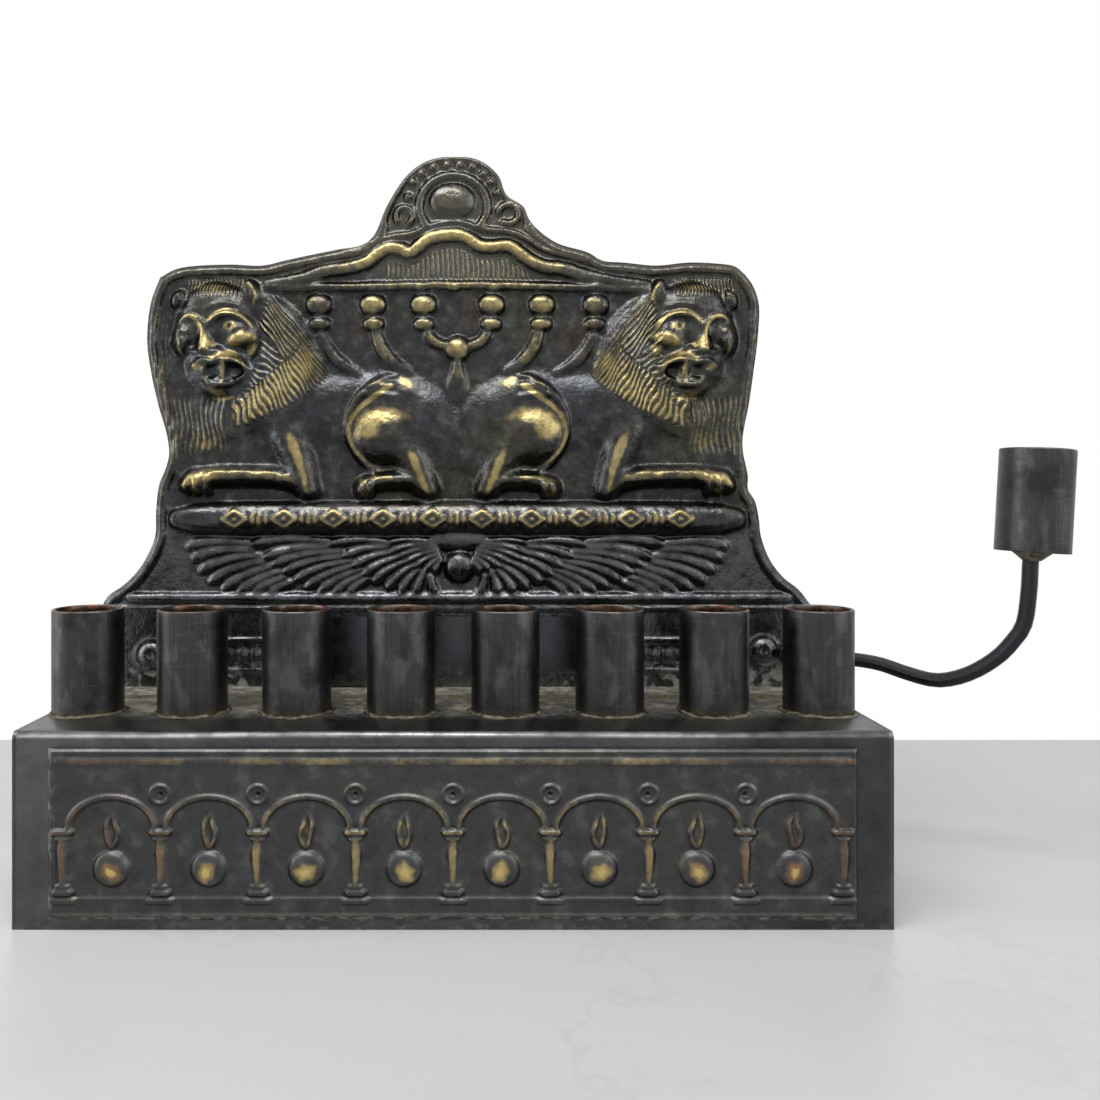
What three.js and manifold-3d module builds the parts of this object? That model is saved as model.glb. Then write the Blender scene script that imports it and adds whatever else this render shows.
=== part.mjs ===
// An eight-cup Hanukkah lamp in patinated brass: a box base bent from sheet, an embossed arcade on
// its front, eight tubes for candles, a pressed backplate and a ninth cup on a bent arm.
// Millimetres, +Z up, the front faces -Y, +X to the right. The origin is on the table, in the
// middle of the lamp's box.
import * as THREE from 'three';
import { mergeVertices } from 'three/addons/utils/BufferGeometryUtils.js';
import Module from 'manifold-3d';

// Base
const baseWidth = 247;
const baseDepth = 59.5;
const baseHeight = 55.4;
const baseSheet = 1.2;
const baseBend = 2;
const endPlate = 1.2;
const footHem = 8;
const seamBead = 2.2;

// Cups
const cupCount = 8;
const cupDiameter = 21;
const cupWall = 1;
const cupHeight = 31.6;
const cupEndMargin = 0.65;
const cupFootGap = 6.4;
const cupRowOffset = -0.6;
const rimChamfer = 0.3;
const filletRise = 1.1;
const filletReach = 1.6;
const fitGap = 0.05;

// Arm and ninth cup
const armDiameter = 4.6;
const shamashReach = 54.1;
const shamashRise = 48.9;
const shamashLean = 3.2;
const shamashFloor = 1.2;
const collarRise = 2.6;
const collarReach = 3.4;
const rootBlobLength = 13;
const rootBlobReach = 3;
const rootGap = 0.2;
const collarGap = 0.3;
const rodGap = 0.05;

// Backplate
const plateInset = 2.5;
const plateSheet = 1;
const plateFlange = 13.5;
const flangeBead = 1;
const ledgeRise = 2;
const rimRise = 1.6;
const bodyRise = 4.6;
const headRise = 6.6;
const faceRise = 1.7;
const lampRise = 3.2;
const canopyRise = 2.4;
const crestRise = 3.2;
const rollRise = 4.6;
const wingRise = 1.8;
const bandRise = 1;
const bandBossRise = 2;
const softness = 1.1;

// Patch plate over the middle of the lower band
const patchSheet = 1.1;
const patchGap = 0.3;

// Front plaque
const plaqueInset = 10.5;
const plaqueFoot = 3.4;
const plaqueHead = 4.4;
const plaqueSheet = 0.8;
const plaqueBead = 0.8;
const bayCount = 8;
const arcadeMargin = 4.2;
const mouldingRise = 0.8;
const archRise = 1.2;
const columnRise = 1.9;
const archWidth = 1.4;
const columnHalf = 1.6;
const plaqueLineInset = 1.8;
const plaqueLineHalf = 0.9;
const oilLampRadius = 5.5;
const oilLampRise = 2.7;
const flameHalf = 0.8;
const flameRise = 1.7;
const plaqueRounding = 0.25;
const roundelRadius = 2.3;
const roundelHalf = 1;

// How finely things are faceted
const turnSides = 28;
const armSides = 6;
const armSteps = 36;
const lumpSides = 16;
const bendSteps = 5;
const plateColumns = 288;
const plateRows = 208;
const plaqueColumns = 360;
const plaqueRows = 72;
const plaqueCell = 0.25;
const plateCellShare = 1;
const ridgeStops = 5;
const arcStops = 12;
const plateDeviation = 4.7;
const backDeviation = 0.9;
const plaqueDeviation = 1.7;
const thinningSweeps = 20;
const edgeWeight = 4;
const leastFacing = 0.15;

// Places worked out from the sizes above
const cupRadius = cupDiameter / 2;
const frontY = -baseDepth / 2;
const backY = baseDepth / 2;
const plateY = backY - plateSheet;
const cupY = plateY - plateFlange - cupFootGap - filletReach - cupRadius;
const endX = baseWidth / 2;
const cupPitch = (baseWidth - cupDiameter - cupEndMargin * 2) / (cupCount - 1);
const shamashX = endX + shamashReach;
const shamashHeight = baseHeight + shamashRise;
const plateWidth = baseWidth - plateInset * 2;
const plaqueWidth = baseWidth - plaqueInset * 2;
const plaqueHeight = baseHeight - plaqueFoot - plaqueHead;
const bayWidth = (plaqueWidth - arcadeMargin * 2) / bayCount;

// Relief drawing of the backplate. Its points count steps: 710 of them make the plate's width, x
// runs to the right from the middle, z runs up from the ledge. Rises are shares of a named rise.
const stepShare = 1 / 710;
const ledgeShare = 82;
const step = plateWidth * stepShare;
const ledgeHeight = baseHeight + ledgeShare * step;

const leftEdgeShares = [
  [-355, -82], [-355, -40], [-356, 0], [-350, 12], [-337, 21], [-323, 34], [-312, 50], [-303, 72],
  [-302, 97], [-299, 123], [-292, 141], [-289, 154], [-291, 172], [-300, 204], [-307, 236],
  [-311, 268], [-307, 307], [-298, 331],
];
const topEdgeShares = [
  [-298, 331], [-280, 340], [-230, 344], [-195, 343], [-173, 348], [-145, 354], [-120, 359],
  [-95, 364], [-84, 373], [-70, 404], [-50, 434], [-30, 448], [-1, 452.5], [23, 448], [41, 433],
  [49, 414], [66, 402], [72, 389], [84, 376], [101, 365], [131, 356], [145, 348], [167, 346],
  [199, 343], [231, 346], [260, 345], [278, 342], [288, 334],
];
const rightEdgeShares = [
  [355, -82], [355, -40], [355, 0], [350, 8], [341, 19], [327, 30], [313, 48], [304, 72],
  [302, 89], [298, 107], [291, 119], [291, 132], [286, 157], [286, 172], [292, 204], [297, 239],
  [301, 272], [302, 304], [296, 323], [288, 334],
];

// Domes: x, z, half width, half height, turn in degrees, share of the rise and, where it isn't the
// table's own, the power of the profile. Ridges: rows of x, z, half width and share of the rise,
// joined by a smooth curve. What is added with a negative share is pressed back in.
const trunkShares = [
  [[-182, 188, 26, 0.5], [-158, 196, 36, 0.74], [-128, 198, 34, 0.66], [-98, 198, 35, 0.66],
    [-66, 196, 40, 0.86], [-40, 184, 42, 0.86], [-18, 164, 34, 0.62]],
];
const flankShares = [[-250, 200, 60, 90, 4, 0.3, 1.1]];
const foreLegShares = [
  [[-178, 196, 17, 0.7], [-168, 172, 20, 0.98], [-158, 146, 17, 1.08], [-150, 122, 13, 1]],
];
const haunchShares = [[-74, 174, 35, 31, 16, 1.3]];
const hindLegShares = [
  [[-56, 164, 21, 1.05], [-42, 146, 16, 1.18], [-33, 131, 12, 1.1], [-28, 119, 11, 0.95]],
];
const pawShares = [
  [[-148, 118, 12, 0.95], [-158, 126, 11, 0.95], [-182, 131, 9.5, 0.9], [-212, 132, 9.5, 0.9],
    [-240, 132, 10, 0.9], [-262, 127, 13, 0.95]],
  [[-28, 118, 11.5, 0.95], [-44, 127, 9, 0.95], [-66, 128, 8.5, 0.9], [-82, 126, 9, 0.9],
    [-93, 120, 11, 0.95]],
];
const toeShares = [
  [-262, 122, 6, 9, -20, 1.02], [-272, 123, 5.5, 8, -30, 0.95], [-251, 120, 5.5, 8, 0, 0.95],
  [-88, 116, 5, 8, 0, 0.98], [-98, 117, 5, 8, -10, 0.95],
];
const maneShares = [
  [[-200, 312, 12, 0.45], [-178, 276, 26, 0.75], [-172, 244, 36, 1], [-198, 214, 34, 1],
    [-228, 190, 24, 0.75], [-250, 176, 12, 0.4]],
];
const headMiddleShare = -3;
const skullShares = [
  [-240, 282, 42, 44, 0, 0.8], [-239, 246, 34, 38, 0, 0.9], [-238, 300, 36, 24, 0, 0.82],
  [-216, 272, 18, 20, 0, 1.02, 0.7], [-273, 268, 12, 20, 0, 0.9, 0.7], [-238, 240, 29, 20, 0, 1.06],
  [-238, 220, 20, 12, 0, 1],
];
const earShares = [[-206, 315, 8, 14, 14, 0.86], [-279, 308, 6, 10.5, -22, 0.72]];
const faceHollowShares = [
  [-207, 314, 4.4, 10, 14, -1.2, 0.6], [-279.5, 308, 3, 7, -22, -0.8, 0.6], [-230, 283.5, 16, 9, -6, -1],
  [-274, 283.5, 11, 8, 6, -0.8], [-240, 268, 8, 10, 30, -0.7], [-265, 268, 6, 9, -30, -0.5],
];
const faceBulgeShares = [
  [-214, 271, 13, 11, 20, 0.6, 0.8], [-277, 267, 8, 9, 0, 0.5, 0.8], [-230.5, 284, 8.5, 5, -4, 1.1],
  [-274, 284, 6.5, 4.5, 4, 0.9], [-230, 252, 15, 7, -12, 0.75], [-254, 250.5, 10, 6.5, 8, 0.65],
];
const browShares = [
  [[-251, 285, 3, 0.4], [-246, 292.5, 4, 0.9], [-232, 298.5, 4.5, 1.15], [-217, 295.5, 4.5, 1.1],
    [-206, 286, 4.5, 0.9], [-200, 273, 4.5, 0.4]],
  [[-257, 286, 3, 0.4], [-263, 293.5, 4, 0.9], [-273, 296.5, 4, 0.95], [-283, 290, 4, 0.5]],
  [[-254, 296, 4, 0.1], [-254, 286, 4, 0.6], [-254, 274, 5.5, 1], [-254, 264, 8.5, 1.5]],
];
const mouthShares = [
  [[-268, 261, 3.2, 0.5], [-263, 258, 3.4, 0.8], [-254, 258.5, 4.5, 0.75], [-245, 258, 3.4, 0.8],
    [-240, 261, 3.2, 0.5]],
  [[-267, 244, 3, 0.5], [-256, 248.5, 3.4, 0.8], [-246, 247.5, 3, 0.6], [-236, 249.5, 3.4, 0.85],
    [-220, 248, 3.4, 0.85], [-210, 240, 3, 0.6]],
  [[-254, 230, 2.8, 0.5], [-248, 226.5, 3.2, 0.8], [-236, 226, 3.4, 0.9], [-222, 229, 3, 0.7],
    [-214, 236, 2.8, 0.3]],
  [[-234, 246, 2.4, 0.5], [-234.5, 239, 2.8, 0.6], [-235, 232, 2.4, 0.5]],
];
const mouthHollowShares = [
  [-245, 238, 8.5, 8, 0, -1.6], [-224.5, 239, 8.5, 8, 0, -1.6], [-245.5, 235.5, 5, 4, 0, 0.8],
  [-224.5, 236.5, 5, 4, 0, 0.8],
];
const tailShares = [
  [[-64, 222, 4, 0.4], [-76, 222, 6, 0.85], [-92, 216, 5, 0.95], [-103, 203, 3.8, 0.95],
    [-109, 186, 3.4, 0.95], [-109, 172, 3.4, 0.95], [-104, 158, 3.4, 0.95], [-95, 146, 3.4, 0.9],
    [-84, 137, 3, 0.6]],
  [[-60, 233, 2.5, 0.4], [-74, 230, 3, 0.8], [-88, 222, 3.5, 0.6]],
  [[-62, 211, 2.5, 0.4], [-76, 213, 3, 0.8], [-90, 212, 3.5, 0.6]],
];
const knobShares = [
  [-140, 303, 14.5, 12, 0, 1], [-87, 303, 14.5, 12, 0, 1], [-36, 303, 14.5, 12, 0, 1],
  [-138, 282, 11.5, 7.5, 0, 0.75], [-86, 282, 11.5, 7.5, 0, 0.75], [-34, 282, 11.5, 7.5, 0, 0.75],
];
const branchShares = [
  [[-136, 272, 6, 0.5], [-131, 262, 6.5, 0.55], [-118, 246, 7, 0.55], [-98, 234, 5, 0.3]],
  [[-82, 273, 7, 0.6], [-78, 262, 7.5, 0.7], [-66, 247, 7.5, 0.65], [-50, 236, 6, 0.3]],
  [[-29, 273, 6, 0.6], [-23, 266, 6.5, 0.65], [-10, 261, 6, 0.6]],
];
const stemShares = [[[0, 250, 4.5, 0.6], [0, 238, 7, 0.7], [0, 224, 12, 0.6], [0, 212, 15, 0.3]]];
const stemBallShares = [[0, 259, 13.5, 13.5, 0, 1.05]];
const canopyShares = [
  [[-190, 323, 5, 0.5], [-154, 329, 6, 0.8], [-132, 337, 6, 1], [-110, 340, 6, 1], [-90, 346, 6, 1],
    [-80, 354, 6, 1], [-68, 360, 6, 1], [-57, 359, 6, 1], [-48, 355, 5.5, 0.95], [-39, 361, 6, 1],
    [-29, 369, 6, 1], [-15, 372.5, 6.5, 1], [0, 373, 6.5, 1], [12, 369, 6, 1], [22, 362, 6, 1],
    [34, 361, 6, 1], [51, 362, 6, 1], [62, 355, 6, 1], [73, 347, 6, 1], [88, 341, 6, 1],
    [107, 339, 6, 1], [122, 334, 6, 0.9], [150, 328, 5.5, 0.8], [190, 322, 5, 0.5]],
  [[-190, 338, 3, 0.5], [-150, 346, 3, 0.6], [-119, 354, 3, 0.6], [-87, 365, 3.2, 0.7],
    [-63, 372, 3.2, 0.7], [-47, 374, 3.2, 0.7], [-29, 381, 3.2, 0.7], [-15, 385, 3.2, 0.7],
    [6, 385, 3.2, 0.7], [25, 379, 3.2, 0.7], [54, 376, 3.2, 0.7], [70, 369, 3.2, 0.7],
    [86, 359, 3, 0.7], [121, 349, 3, 0.6], [160, 340, 3, 0.5]],
  [[-190, 320, 5, 0.7], [-100, 321, 5, 0.8], [0, 323, 5, 0.85], [100, 321, 5, 0.8], [190, 318, 5, 0.7]],
];
const crestDomeShares = [
  [-5, 407, 23.5, 19, 0, 1], [-73, 382, 5, 5, 0, 0.5], [73, 382, 6, 6, 0, 0.5],
];
const crestRing = { shares: [-4, 402, 34, 31], from: -38, to: 218, width: 4.6, rise: 0.55 };
const crestBeads = { shares: [-4.5, 405, 46, 40.5], from: 15, to: 168, count: 10, radius: 4.6, rise: 0.5 };
const crestVolutes = [
  { shares: [-52, 393, 9, 9], from: -60, to: 215, width: 4, rise: 0.5 },
  { shares: [52, 394, 11, 10], from: -120, to: 165, width: 4.4, rise: 0.55 },
];

// Each tier of a wing: the lines on which its feathers begin and end, how many there are, their
// half widths at root and tip, and their share of the rise
const wingTiers = [
  {
    rootShares: [[-212, 68], [-203, 55], [-190, 44], [-176, 33], [-165, 22]],
    tipShares: [[-270, 68], [-264, 52], [-254, 36], [-240, 22], [-220, 16], [-199, 15.5], [-178, 15.5]],
    count: 8, rootHalf: 5, tipHalf: 8.2, share: 0.8,
  },
  {
    rootShares: [[-132, 69], [-113, 54], [-98, 41], [-88, 27]],
    tipShares: [[-212, 70], [-192, 51], [-178, 40], [-160, 29], [-144, 18], [-122, 15.5], [-100, 15.5]],
    count: 9, rootHalf: 4.5, tipHalf: 7.5, share: 1,
  },
  {
    rootShares: [[-74, 69], [-60, 54], [-42, 40], [-24, 30]],
    tipShares: [[-133, 70], [-113, 52], [-97, 38], [-82, 27], [-63, 17], [-40, 15.5], [-14, 16]],
    count: 9, rootHalf: 4.2, tipHalf: 7, share: 1.25,
  },
  {
    rootShares: [[-30, 69], [-20, 58], [-15, 46]],
    tipShares: [[-72, 70], [-66, 57], [-58, 49], [-44, 43], [-30, 38], [-18, 36]],
    count: 7, rootHalf: 3, tipHalf: 5, share: 1.5,
  },
];
const featherBendShare = 0.05;
const rollShares = [
  [[-278, 89, 11, 0.75], [-262, 89, 15, 0.95], [-230, 89.5, 16.5, 1], [0, 90, 17, 1],
    [230, 89.5, 16.5, 1], [262, 89, 15, 0.95], [278, 89, 11, 0.75]],
];
const wingDiscShares = [[2, 68, 34, 12, 0, 0.62], [2, 42, 15, 16, 0, 1]];
const ledgeShares = [
  [[-327, 10, 5.5, 1], [-300, 10, 6, 1], [330, 10, 6, 1]],
  [[-345, 0, 2.5, 0.5], [345, 0, 2.5, 0.5]],
];
const bandShares = [
  [[-238, -32, 2.4, 1], [238, -32, 2.4, 1]],
  [[-238, -62, 2.4, 1], [238, -62, 2.4, 1]],
  [[-238, -32, 2.4, 1], [-238, -62, 2.4, 1]],
  [[238, -32, 2.4, 1], [238, -62, 2.4, 1]],
];
const bandEggs = { fromShare: 164, toShare: 228, count: 6, shares: [-47, 4.6, 11.5, 0, 1] };
const bandBossShares = [[-307, -47, 12, 12, 0, 1], [306, -43, 12, 12, 0, 1]];
const plateMapShares = [-360, -90, 360, 460];
const rimInsetShare = 7;
const rimWidthShare = 5;
const patchShares = [[-152, -8], [150, -8], [150, -57], [-152, -77]];

// Powers of a motif's rounded profile
const profileShares = { full: 0.5, round: 0.6, soft: 0.75 };

// How far two motifs run into each other, as shares of the softness
const blendShares = { broad: 1, close: 0.5, crisp: 0.2 };

// How many steps the pressed forms are rounded off over, after each stage of the drawing
const roundingShares = {
  trunk: 3.5, legs: 2.2, mane: 1.4, skull: 1.8, ears: 0.7, face: 0.8, tail: 0.8, wings: 0.6,
};

// Where the arm is soldered to the plate, in the drawing's steps
const armRootShares = [322.7, -46.8];
const armRootX = armRootShares[0] * step;
const armRootHeight = ledgeHeight + armRootShares[1] * step;

// Where the arm's middle line runs, as shares of its reach from the root to the cup
const armCourseShares = [
  [0, 0, 0], [0.17, 0.06, 0], [0.34, 0.2, -0.01], [0.44, 0.31, -0.035], [0.54, 0.44, -0.095],
  [0.65, 0.62, -0.13], [0.76, 0.78, -0.05], [0.87, 0.9, 0.115], [0.93, 0.95, 0.26],
  [0.965, 0.98, 0.38], [0.985, 1, 0.66], [0.993, 1, 0.92], [0.998, 1, 1.02],
];

// Patinated metals
const metals = {
  base: { color: 0x34302d, roughness: 0.42, metalness: 0.85 },
  plate: { color: 0x3c3833, roughness: 0.46, metalness: 0.85 },
  plaque: { color: 0x3f3833, roughness: 0.5, metalness: 0.85 },
  cup: { color: 0x3b3a3c, roughness: 0.4, metalness: 0.85 },
  solder: { color: 0x6f6d5c, roughness: 0.8, metalness: 0.3 },
};

const wasm = await Module();
wasm.setup();

// The name is the piece's own, and its colour is its metal's
function piece(name, geometry, metal) {
  const mesh = new THREE.Mesh(geometry, new THREE.MeshStandardMaterial(metals[metal]));
  mesh.name = name;
  return mesh;
}

function toSolid(geometry) {
  const bare = geometry.clone();
  bare.deleteAttribute('normal');
  bare.deleteAttribute('uv');
  const merged = mergeVertices(bare);
  return new wasm.Manifold(new wasm.Mesh({
    numProp: 3,
    vertProperties: merged.attributes.position.array,
    triVerts: new Uint32Array(merged.index.array),
  }));
}

function fromSolid(solid) {
  const mesh = solid.getMesh();
  const geometry = new THREE.BufferGeometry();
  geometry.setAttribute('position', new THREE.BufferAttribute(mesh.vertProperties, 3));
  geometry.setIndex(new THREE.BufferAttribute(mesh.triVerts, 1));
  return geometry;
}

// A block from its lowest to its highest corner
function block(low, high) {
  const size = high.map((value, axis) => value - low[axis]);
  const middle = high.map((value, axis) => (value + low[axis]) / 2);
  return new THREE.BoxGeometry(...size).translate(...middle);
}

// A profile in the YZ plane, swept along X
function sweepAlongX(shape, fromX, toX, curveSegments = bendSteps) {
  const depth = toX - fromX;
  const geometry = new THREE.ExtrudeGeometry(shape, { depth, bevelEnabled: false, curveSegments });
  geometry.rotateX(Math.PI / 2).rotateZ(Math.PI / 2);
  return geometry.translate(fromX, 0, 0);
}

// A ring turned about the Z axis from a closed profile of [radius, height]
function turnedRing(profile) {
  const points = [...profile, profile[0]].map(([radius, height]) => new THREE.Vector2(radius, height));
  return new THREE.LatheGeometry(points, turnSides).rotateX(Math.PI / 2);
}

// How high a rounded bump stands at a distance of 0 to 1 from its middle
function bump(distance, profile) {
  return distance < 1 ? (1 - distance * distance) ** profile : 0;
}

// Each motif gives its height at a point, and the box outside which it gives none
function dome([x, z, halfWidth, halfHeight, turn, share, ownProfile], rise, profile) {
  const cos = Math.cos(THREE.MathUtils.degToRad(turn));
  const sin = Math.sin(THREE.MathUtils.degToRad(turn));
  const reach = Math.max(halfWidth, halfHeight);
  return {
    box: [x - reach, z - reach, x + reach, z + reach],
    height: (px, pz) => {
      const across = (px - x) * cos + (pz - z) * sin;
      const up = (pz - z) * cos - (px - x) * sin;
      return share * rise * bump(Math.hypot(across / halfWidth, up / halfHeight), ownProfile ?? profile);
    },
  };
}

// How far a point lies from the stretch between a and b, and where along it the nearest spot is
function besideStretch(px, pz, a, b) {
  const runX = b.x - a.x;
  const runZ = b.z - a.z;
  const along = ((px - a.x) * runX + (pz - a.z) * runZ) / (runX * runX + runZ * runZ);
  const t = THREE.MathUtils.clamp(along, 0, 1);
  return { t, away: Math.hypot(px - a.x - t * runX, pz - a.z - t * runZ) };
}

function ridge(rows, rise, profile) {
  const course = new THREE.CatmullRomCurve3(
    rows.map(([x, z]) => new THREE.Vector3(x, 0, z)), false, 'centripetal');
  const count = (rows.length - 1) * ridgeStops;
  const points = Array.from({ length: count + 1 }, (_, i) => {
    const row = Math.min(Math.floor(i / ridgeStops), rows.length - 2);
    const [from, to] = [rows[row], rows[row + 1]];
    const between = (column) => THREE.MathUtils.lerp(from[column], to[column], i / ridgeStops - row);
    const { x, z } = course.getPoint(i / count);
    return { x, z, width: between(2), share: between(3) };
  });
  const reach = Math.max(...points.map((point) => point.width));
  const [xs, zs] = [points.map((point) => point.x), points.map((point) => point.z)];
  const [low, high] = [Math.min, Math.max].map((end) => [end(...xs), end(...zs)]);
  return {
    box: [...low.map((value) => value - reach), ...high.map((value) => value + reach)],
    height: (px, pz) => {
      let best = 0;
      for (let i = 0; i < count; i += 1) {
        const [a, b] = [points[i], points[i + 1]];
        const { t, away } = besideStretch(px, pz, a, b);
        const half = THREE.MathUtils.lerp(a.width, b.width, t);
        const share = THREE.MathUtils.lerp(a.share, b.share, t);
        best = Math.max(best, share * rise * bump(away / half, profile));
      }
      return best;
    },
  };
}

function mirroredAbout(middle, motif) {
  const [x0, z0, x1, z1] = motif.box;
  return {
    box: [middle * 2 - x1, z0, middle * 2 - x0, z1],
    height: (x, z) => motif.height(middle * 2 - x, z),
  };
}

const { soft, round, full } = profileShares;
const domes = (shares, rise, profile = soft) => shares.map((row) => dome(row, rise, profile));
const ridges = (shares, rise, profile = soft) => shares.map((rows) => ridge(rows, rise, profile));

function bothSides(motifs, middle = 0) {
  return [...motifs, ...motifs.map((motif) => mirroredAbout(middle, motif))];
}

function arcRidge(arc, rise, profile) {
  const { shares: [x, z, halfWidth, halfHeight], from, to, width, rise: share } = arc;
  const rows = Array.from({ length: arcStops + 1 }, (_, i) => {
    const angle = THREE.MathUtils.degToRad(THREE.MathUtils.lerp(from, to, i / arcStops));
    return [x + halfWidth * Math.cos(angle), z + halfHeight * Math.sin(angle), width, share];
  });
  return ridge(rows, rise, profile);
}

function beadRow(row, rise) {
  const { shares: [x, z, halfWidth, halfHeight], from, to, count, radius, rise: share } = row;
  return Array.from({ length: count }, (_, i) => {
    const angle = THREE.MathUtils.degToRad(THREE.MathUtils.lerp(from, to, i / (count - 1)));
    const middle = [x + halfWidth * Math.cos(angle), z + halfHeight * Math.sin(angle)];
    return dome([...middle, radius, radius, 0, share], rise, full);
  });
}

// A height map on a square grid of cells, which is drawn on in layers and rounded off between them
class HeightMap {
  constructor([x0, z0, x1, z1], cell) {
    Object.assign(this, { x0, z0, cell });
    this.across = Math.ceil((x1 - x0) / cell) + 1;
    this.up = Math.ceil((z1 - z0) / cell) + 1;
    this.heights = new Float64Array(this.across * this.up);
  }

  // Changes every cell in a motif's box, from its height and the motif's own
  draw({ box: [x0, z0, x1, z1], height }, change) {
    const cellAt = (value, from, count) => {
      return THREE.MathUtils.clamp(Math.round((value - from) / this.cell), 0, count - 1);
    };
    const [first, last] = [x0, x1].map((x) => cellAt(x, this.x0, this.across));
    const [lowest, highest] = [z0, z1].map((z) => cellAt(z, this.z0, this.up));
    for (let j = lowest; j <= highest; j += 1) {
      for (let i = first; i <= last; i += 1) {
        const own = height(this.x0 + i * this.cell, this.z0 + j * this.cell);
        const k = j * this.across + i;
        this.heights[k] = change(this.heights[k], own);
      }
    }
  }

  // The higher of the two, with a fillet of the given reach where they meet
  blend(motifs, reach) {
    const higher = (now, own) => {
      if (own <= 0) return now;
      const near = Math.min(reach, own);
      const fillet = Math.max(near - Math.abs(now - own), 0) ** 2 / (near * 4);
      return Math.max(now, own) + fillet;
    };
    motifs.forEach((motif) => this.draw(motif, higher));
  }

  add(motifs) {
    motifs.forEach((motif) => this.draw(motif, (now, own) => now + own));
  }

  // Rounds everything off, first along x and then along z
  soften(reach) {
    const spread = reach / this.cell;
    const half = Math.ceil(spread * 3);
    const bell = Array.from({ length: half * 2 + 1 }, (_, k) => {
      return Math.exp(-(((k - half) / spread) ** 2) / 2);
    });
    const total = bell.reduce((sum, tap) => sum + tap, 0);
    const taps = bell.map((tap) => tap / total);
    this.softenLines(taps, this.across, 1, this.up, this.across);
    this.softenLines(taps, this.up, this.across, this.across, 1);
  }

  softenLines(taps, count, stride, lines, lineStride) {
    const half = (taps.length - 1) / 2;
    const line = new Float64Array(count);
    for (let n = 0; n < lines; n += 1) {
      for (let i = 0; i < count; i += 1) line[i] = this.heights[n * lineStride + i * stride];
      for (let i = 0; i < count; i += 1) {
        let sum = 0;
        taps.forEach((tap, k) => { sum += tap * line[THREE.MathUtils.clamp(i + k - half, 0, count - 1)]; });
        this.heights[n * lineStride + i * stride] = sum;
      }
    }
  }

  at(x, z) {
    const u = THREE.MathUtils.clamp((x - this.x0) / this.cell, 0, this.across - 1);
    const v = THREE.MathUtils.clamp((z - this.z0) / this.cell, 0, this.up - 1);
    const i = Math.min(Math.floor(u), this.across - 2);
    const j = Math.min(Math.floor(v), this.up - 2);
    const row = (n) => {
      const k = n * this.across + i;
      return THREE.MathUtils.lerp(this.heights[k], this.heights[k + 1], u - i);
    };
    return THREE.MathUtils.lerp(row(j), row(j + 1), v - j);
  }
}

const [broad, close, crisp] = ['broad', 'close', 'crisp'].map((name) => blendShares[name] * softness);

function drawLionBodies(map) {
  map.blend(bothSides(ridges(trunkShares, bodyRise)), broad);
  map.blend(bothSides(domes(flankShares, bodyRise)), broad);
  map.soften(roundingShares.trunk);
  map.blend(bothSides(ridges(foreLegShares, bodyRise, round)), close);
  map.blend(bothSides(domes(haunchShares, bodyRise, round)), close);
  map.blend(bothSides(ridges(hindLegShares, bodyRise, round)), close);
  map.soften(roundingShares.legs);
  map.blend(bothSides(ridges(pawShares, bodyRise, full)), close);
  map.blend(bothSides(domes(toeShares, bodyRise, full)), crisp);
  map.blend(bothSides(ridges(maneShares, bodyRise, full)), close);
  map.soften(roundingShares.mane);
}

function drawLionHeads(map) {
  const both = (motifs) => bothSides(motifs, headMiddleShare);
  map.blend(both(domes(skullShares, headRise, round)), broad);
  map.soften(roundingShares.skull);
  map.blend(both(domes(earShares, headRise, round)), crisp);
  map.soften(roundingShares.ears);
  map.add(both(domes(faceHollowShares, faceRise)));
  map.add(both(domes(faceBulgeShares, faceRise, round)));
  map.add(both(ridges(browShares, faceRise)));
  map.soften(roundingShares.face);
  map.add(both(ridges(mouthShares, faceRise, round)));
  map.add(both(domes(mouthHollowShares, faceRise, round)));
}

function drawTailsAndBranches(map) {
  map.add(bothSides(ridges(tailShares, faceRise, full)));
  map.soften(roundingShares.tail);
  map.blend(bothSides(domes(knobShares, lampRise, full)), crisp);
  map.blend(bothSides(ridges(branchShares, lampRise, round)), crisp);
  map.blend(ridges(stemShares, lampRise), crisp);
  map.blend(domes(stemBallShares, lampRise, full), crisp);
}

function drawCanopyAndCrest(map) {
  map.blend(ridges(canopyShares, canopyRise, full), crisp);
  map.blend(domes(crestDomeShares, crestRise, full), crisp);
  map.blend([crestRing, ...crestVolutes].map((arc) => arcRidge(arc, crestRise, full)), crisp);
  map.blend(beadRow(crestBeads, crestRise), crisp);
}

// The point at a share of a line of points, which are counted and not measured
function alongLine(shares, t) {
  const whole = t * (shares.length - 1);
  const i = Math.min(Math.floor(whole), shares.length - 2);
  return new THREE.Vector2(...shares[i]).lerp(new THREE.Vector2(...shares[i + 1]), whole - i);
}

function feather({ rootShares, tipShares, rootHalf, tipHalf, share }, t) {
  const [root, tip] = [alongLine(rootShares, t), alongLine(tipShares, t)];
  const run = tip.clone().sub(root);
  const bend = new THREE.Vector2(run.y, -run.x).multiplyScalar(featherBendShare);
  const middle = root.clone().lerp(tip, 0.5).add(bend);
  return ridge([
    [root.x, root.y, rootHalf, share],
    [middle.x, middle.y, (rootHalf + tipHalf) / 2, share],
    [tip.x, tip.y, tipHalf, share],
  ], wingRise, full);
}

function drawWings(map) {
  const feathers = wingTiers.flatMap((tier) => Array.from(
    { length: tier.count }, (_, i) => feather(tier, (i + 0.5) / tier.count)));
  map.blend(bothSides(feathers), crisp);
  map.soften(roundingShares.wings);
}

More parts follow.
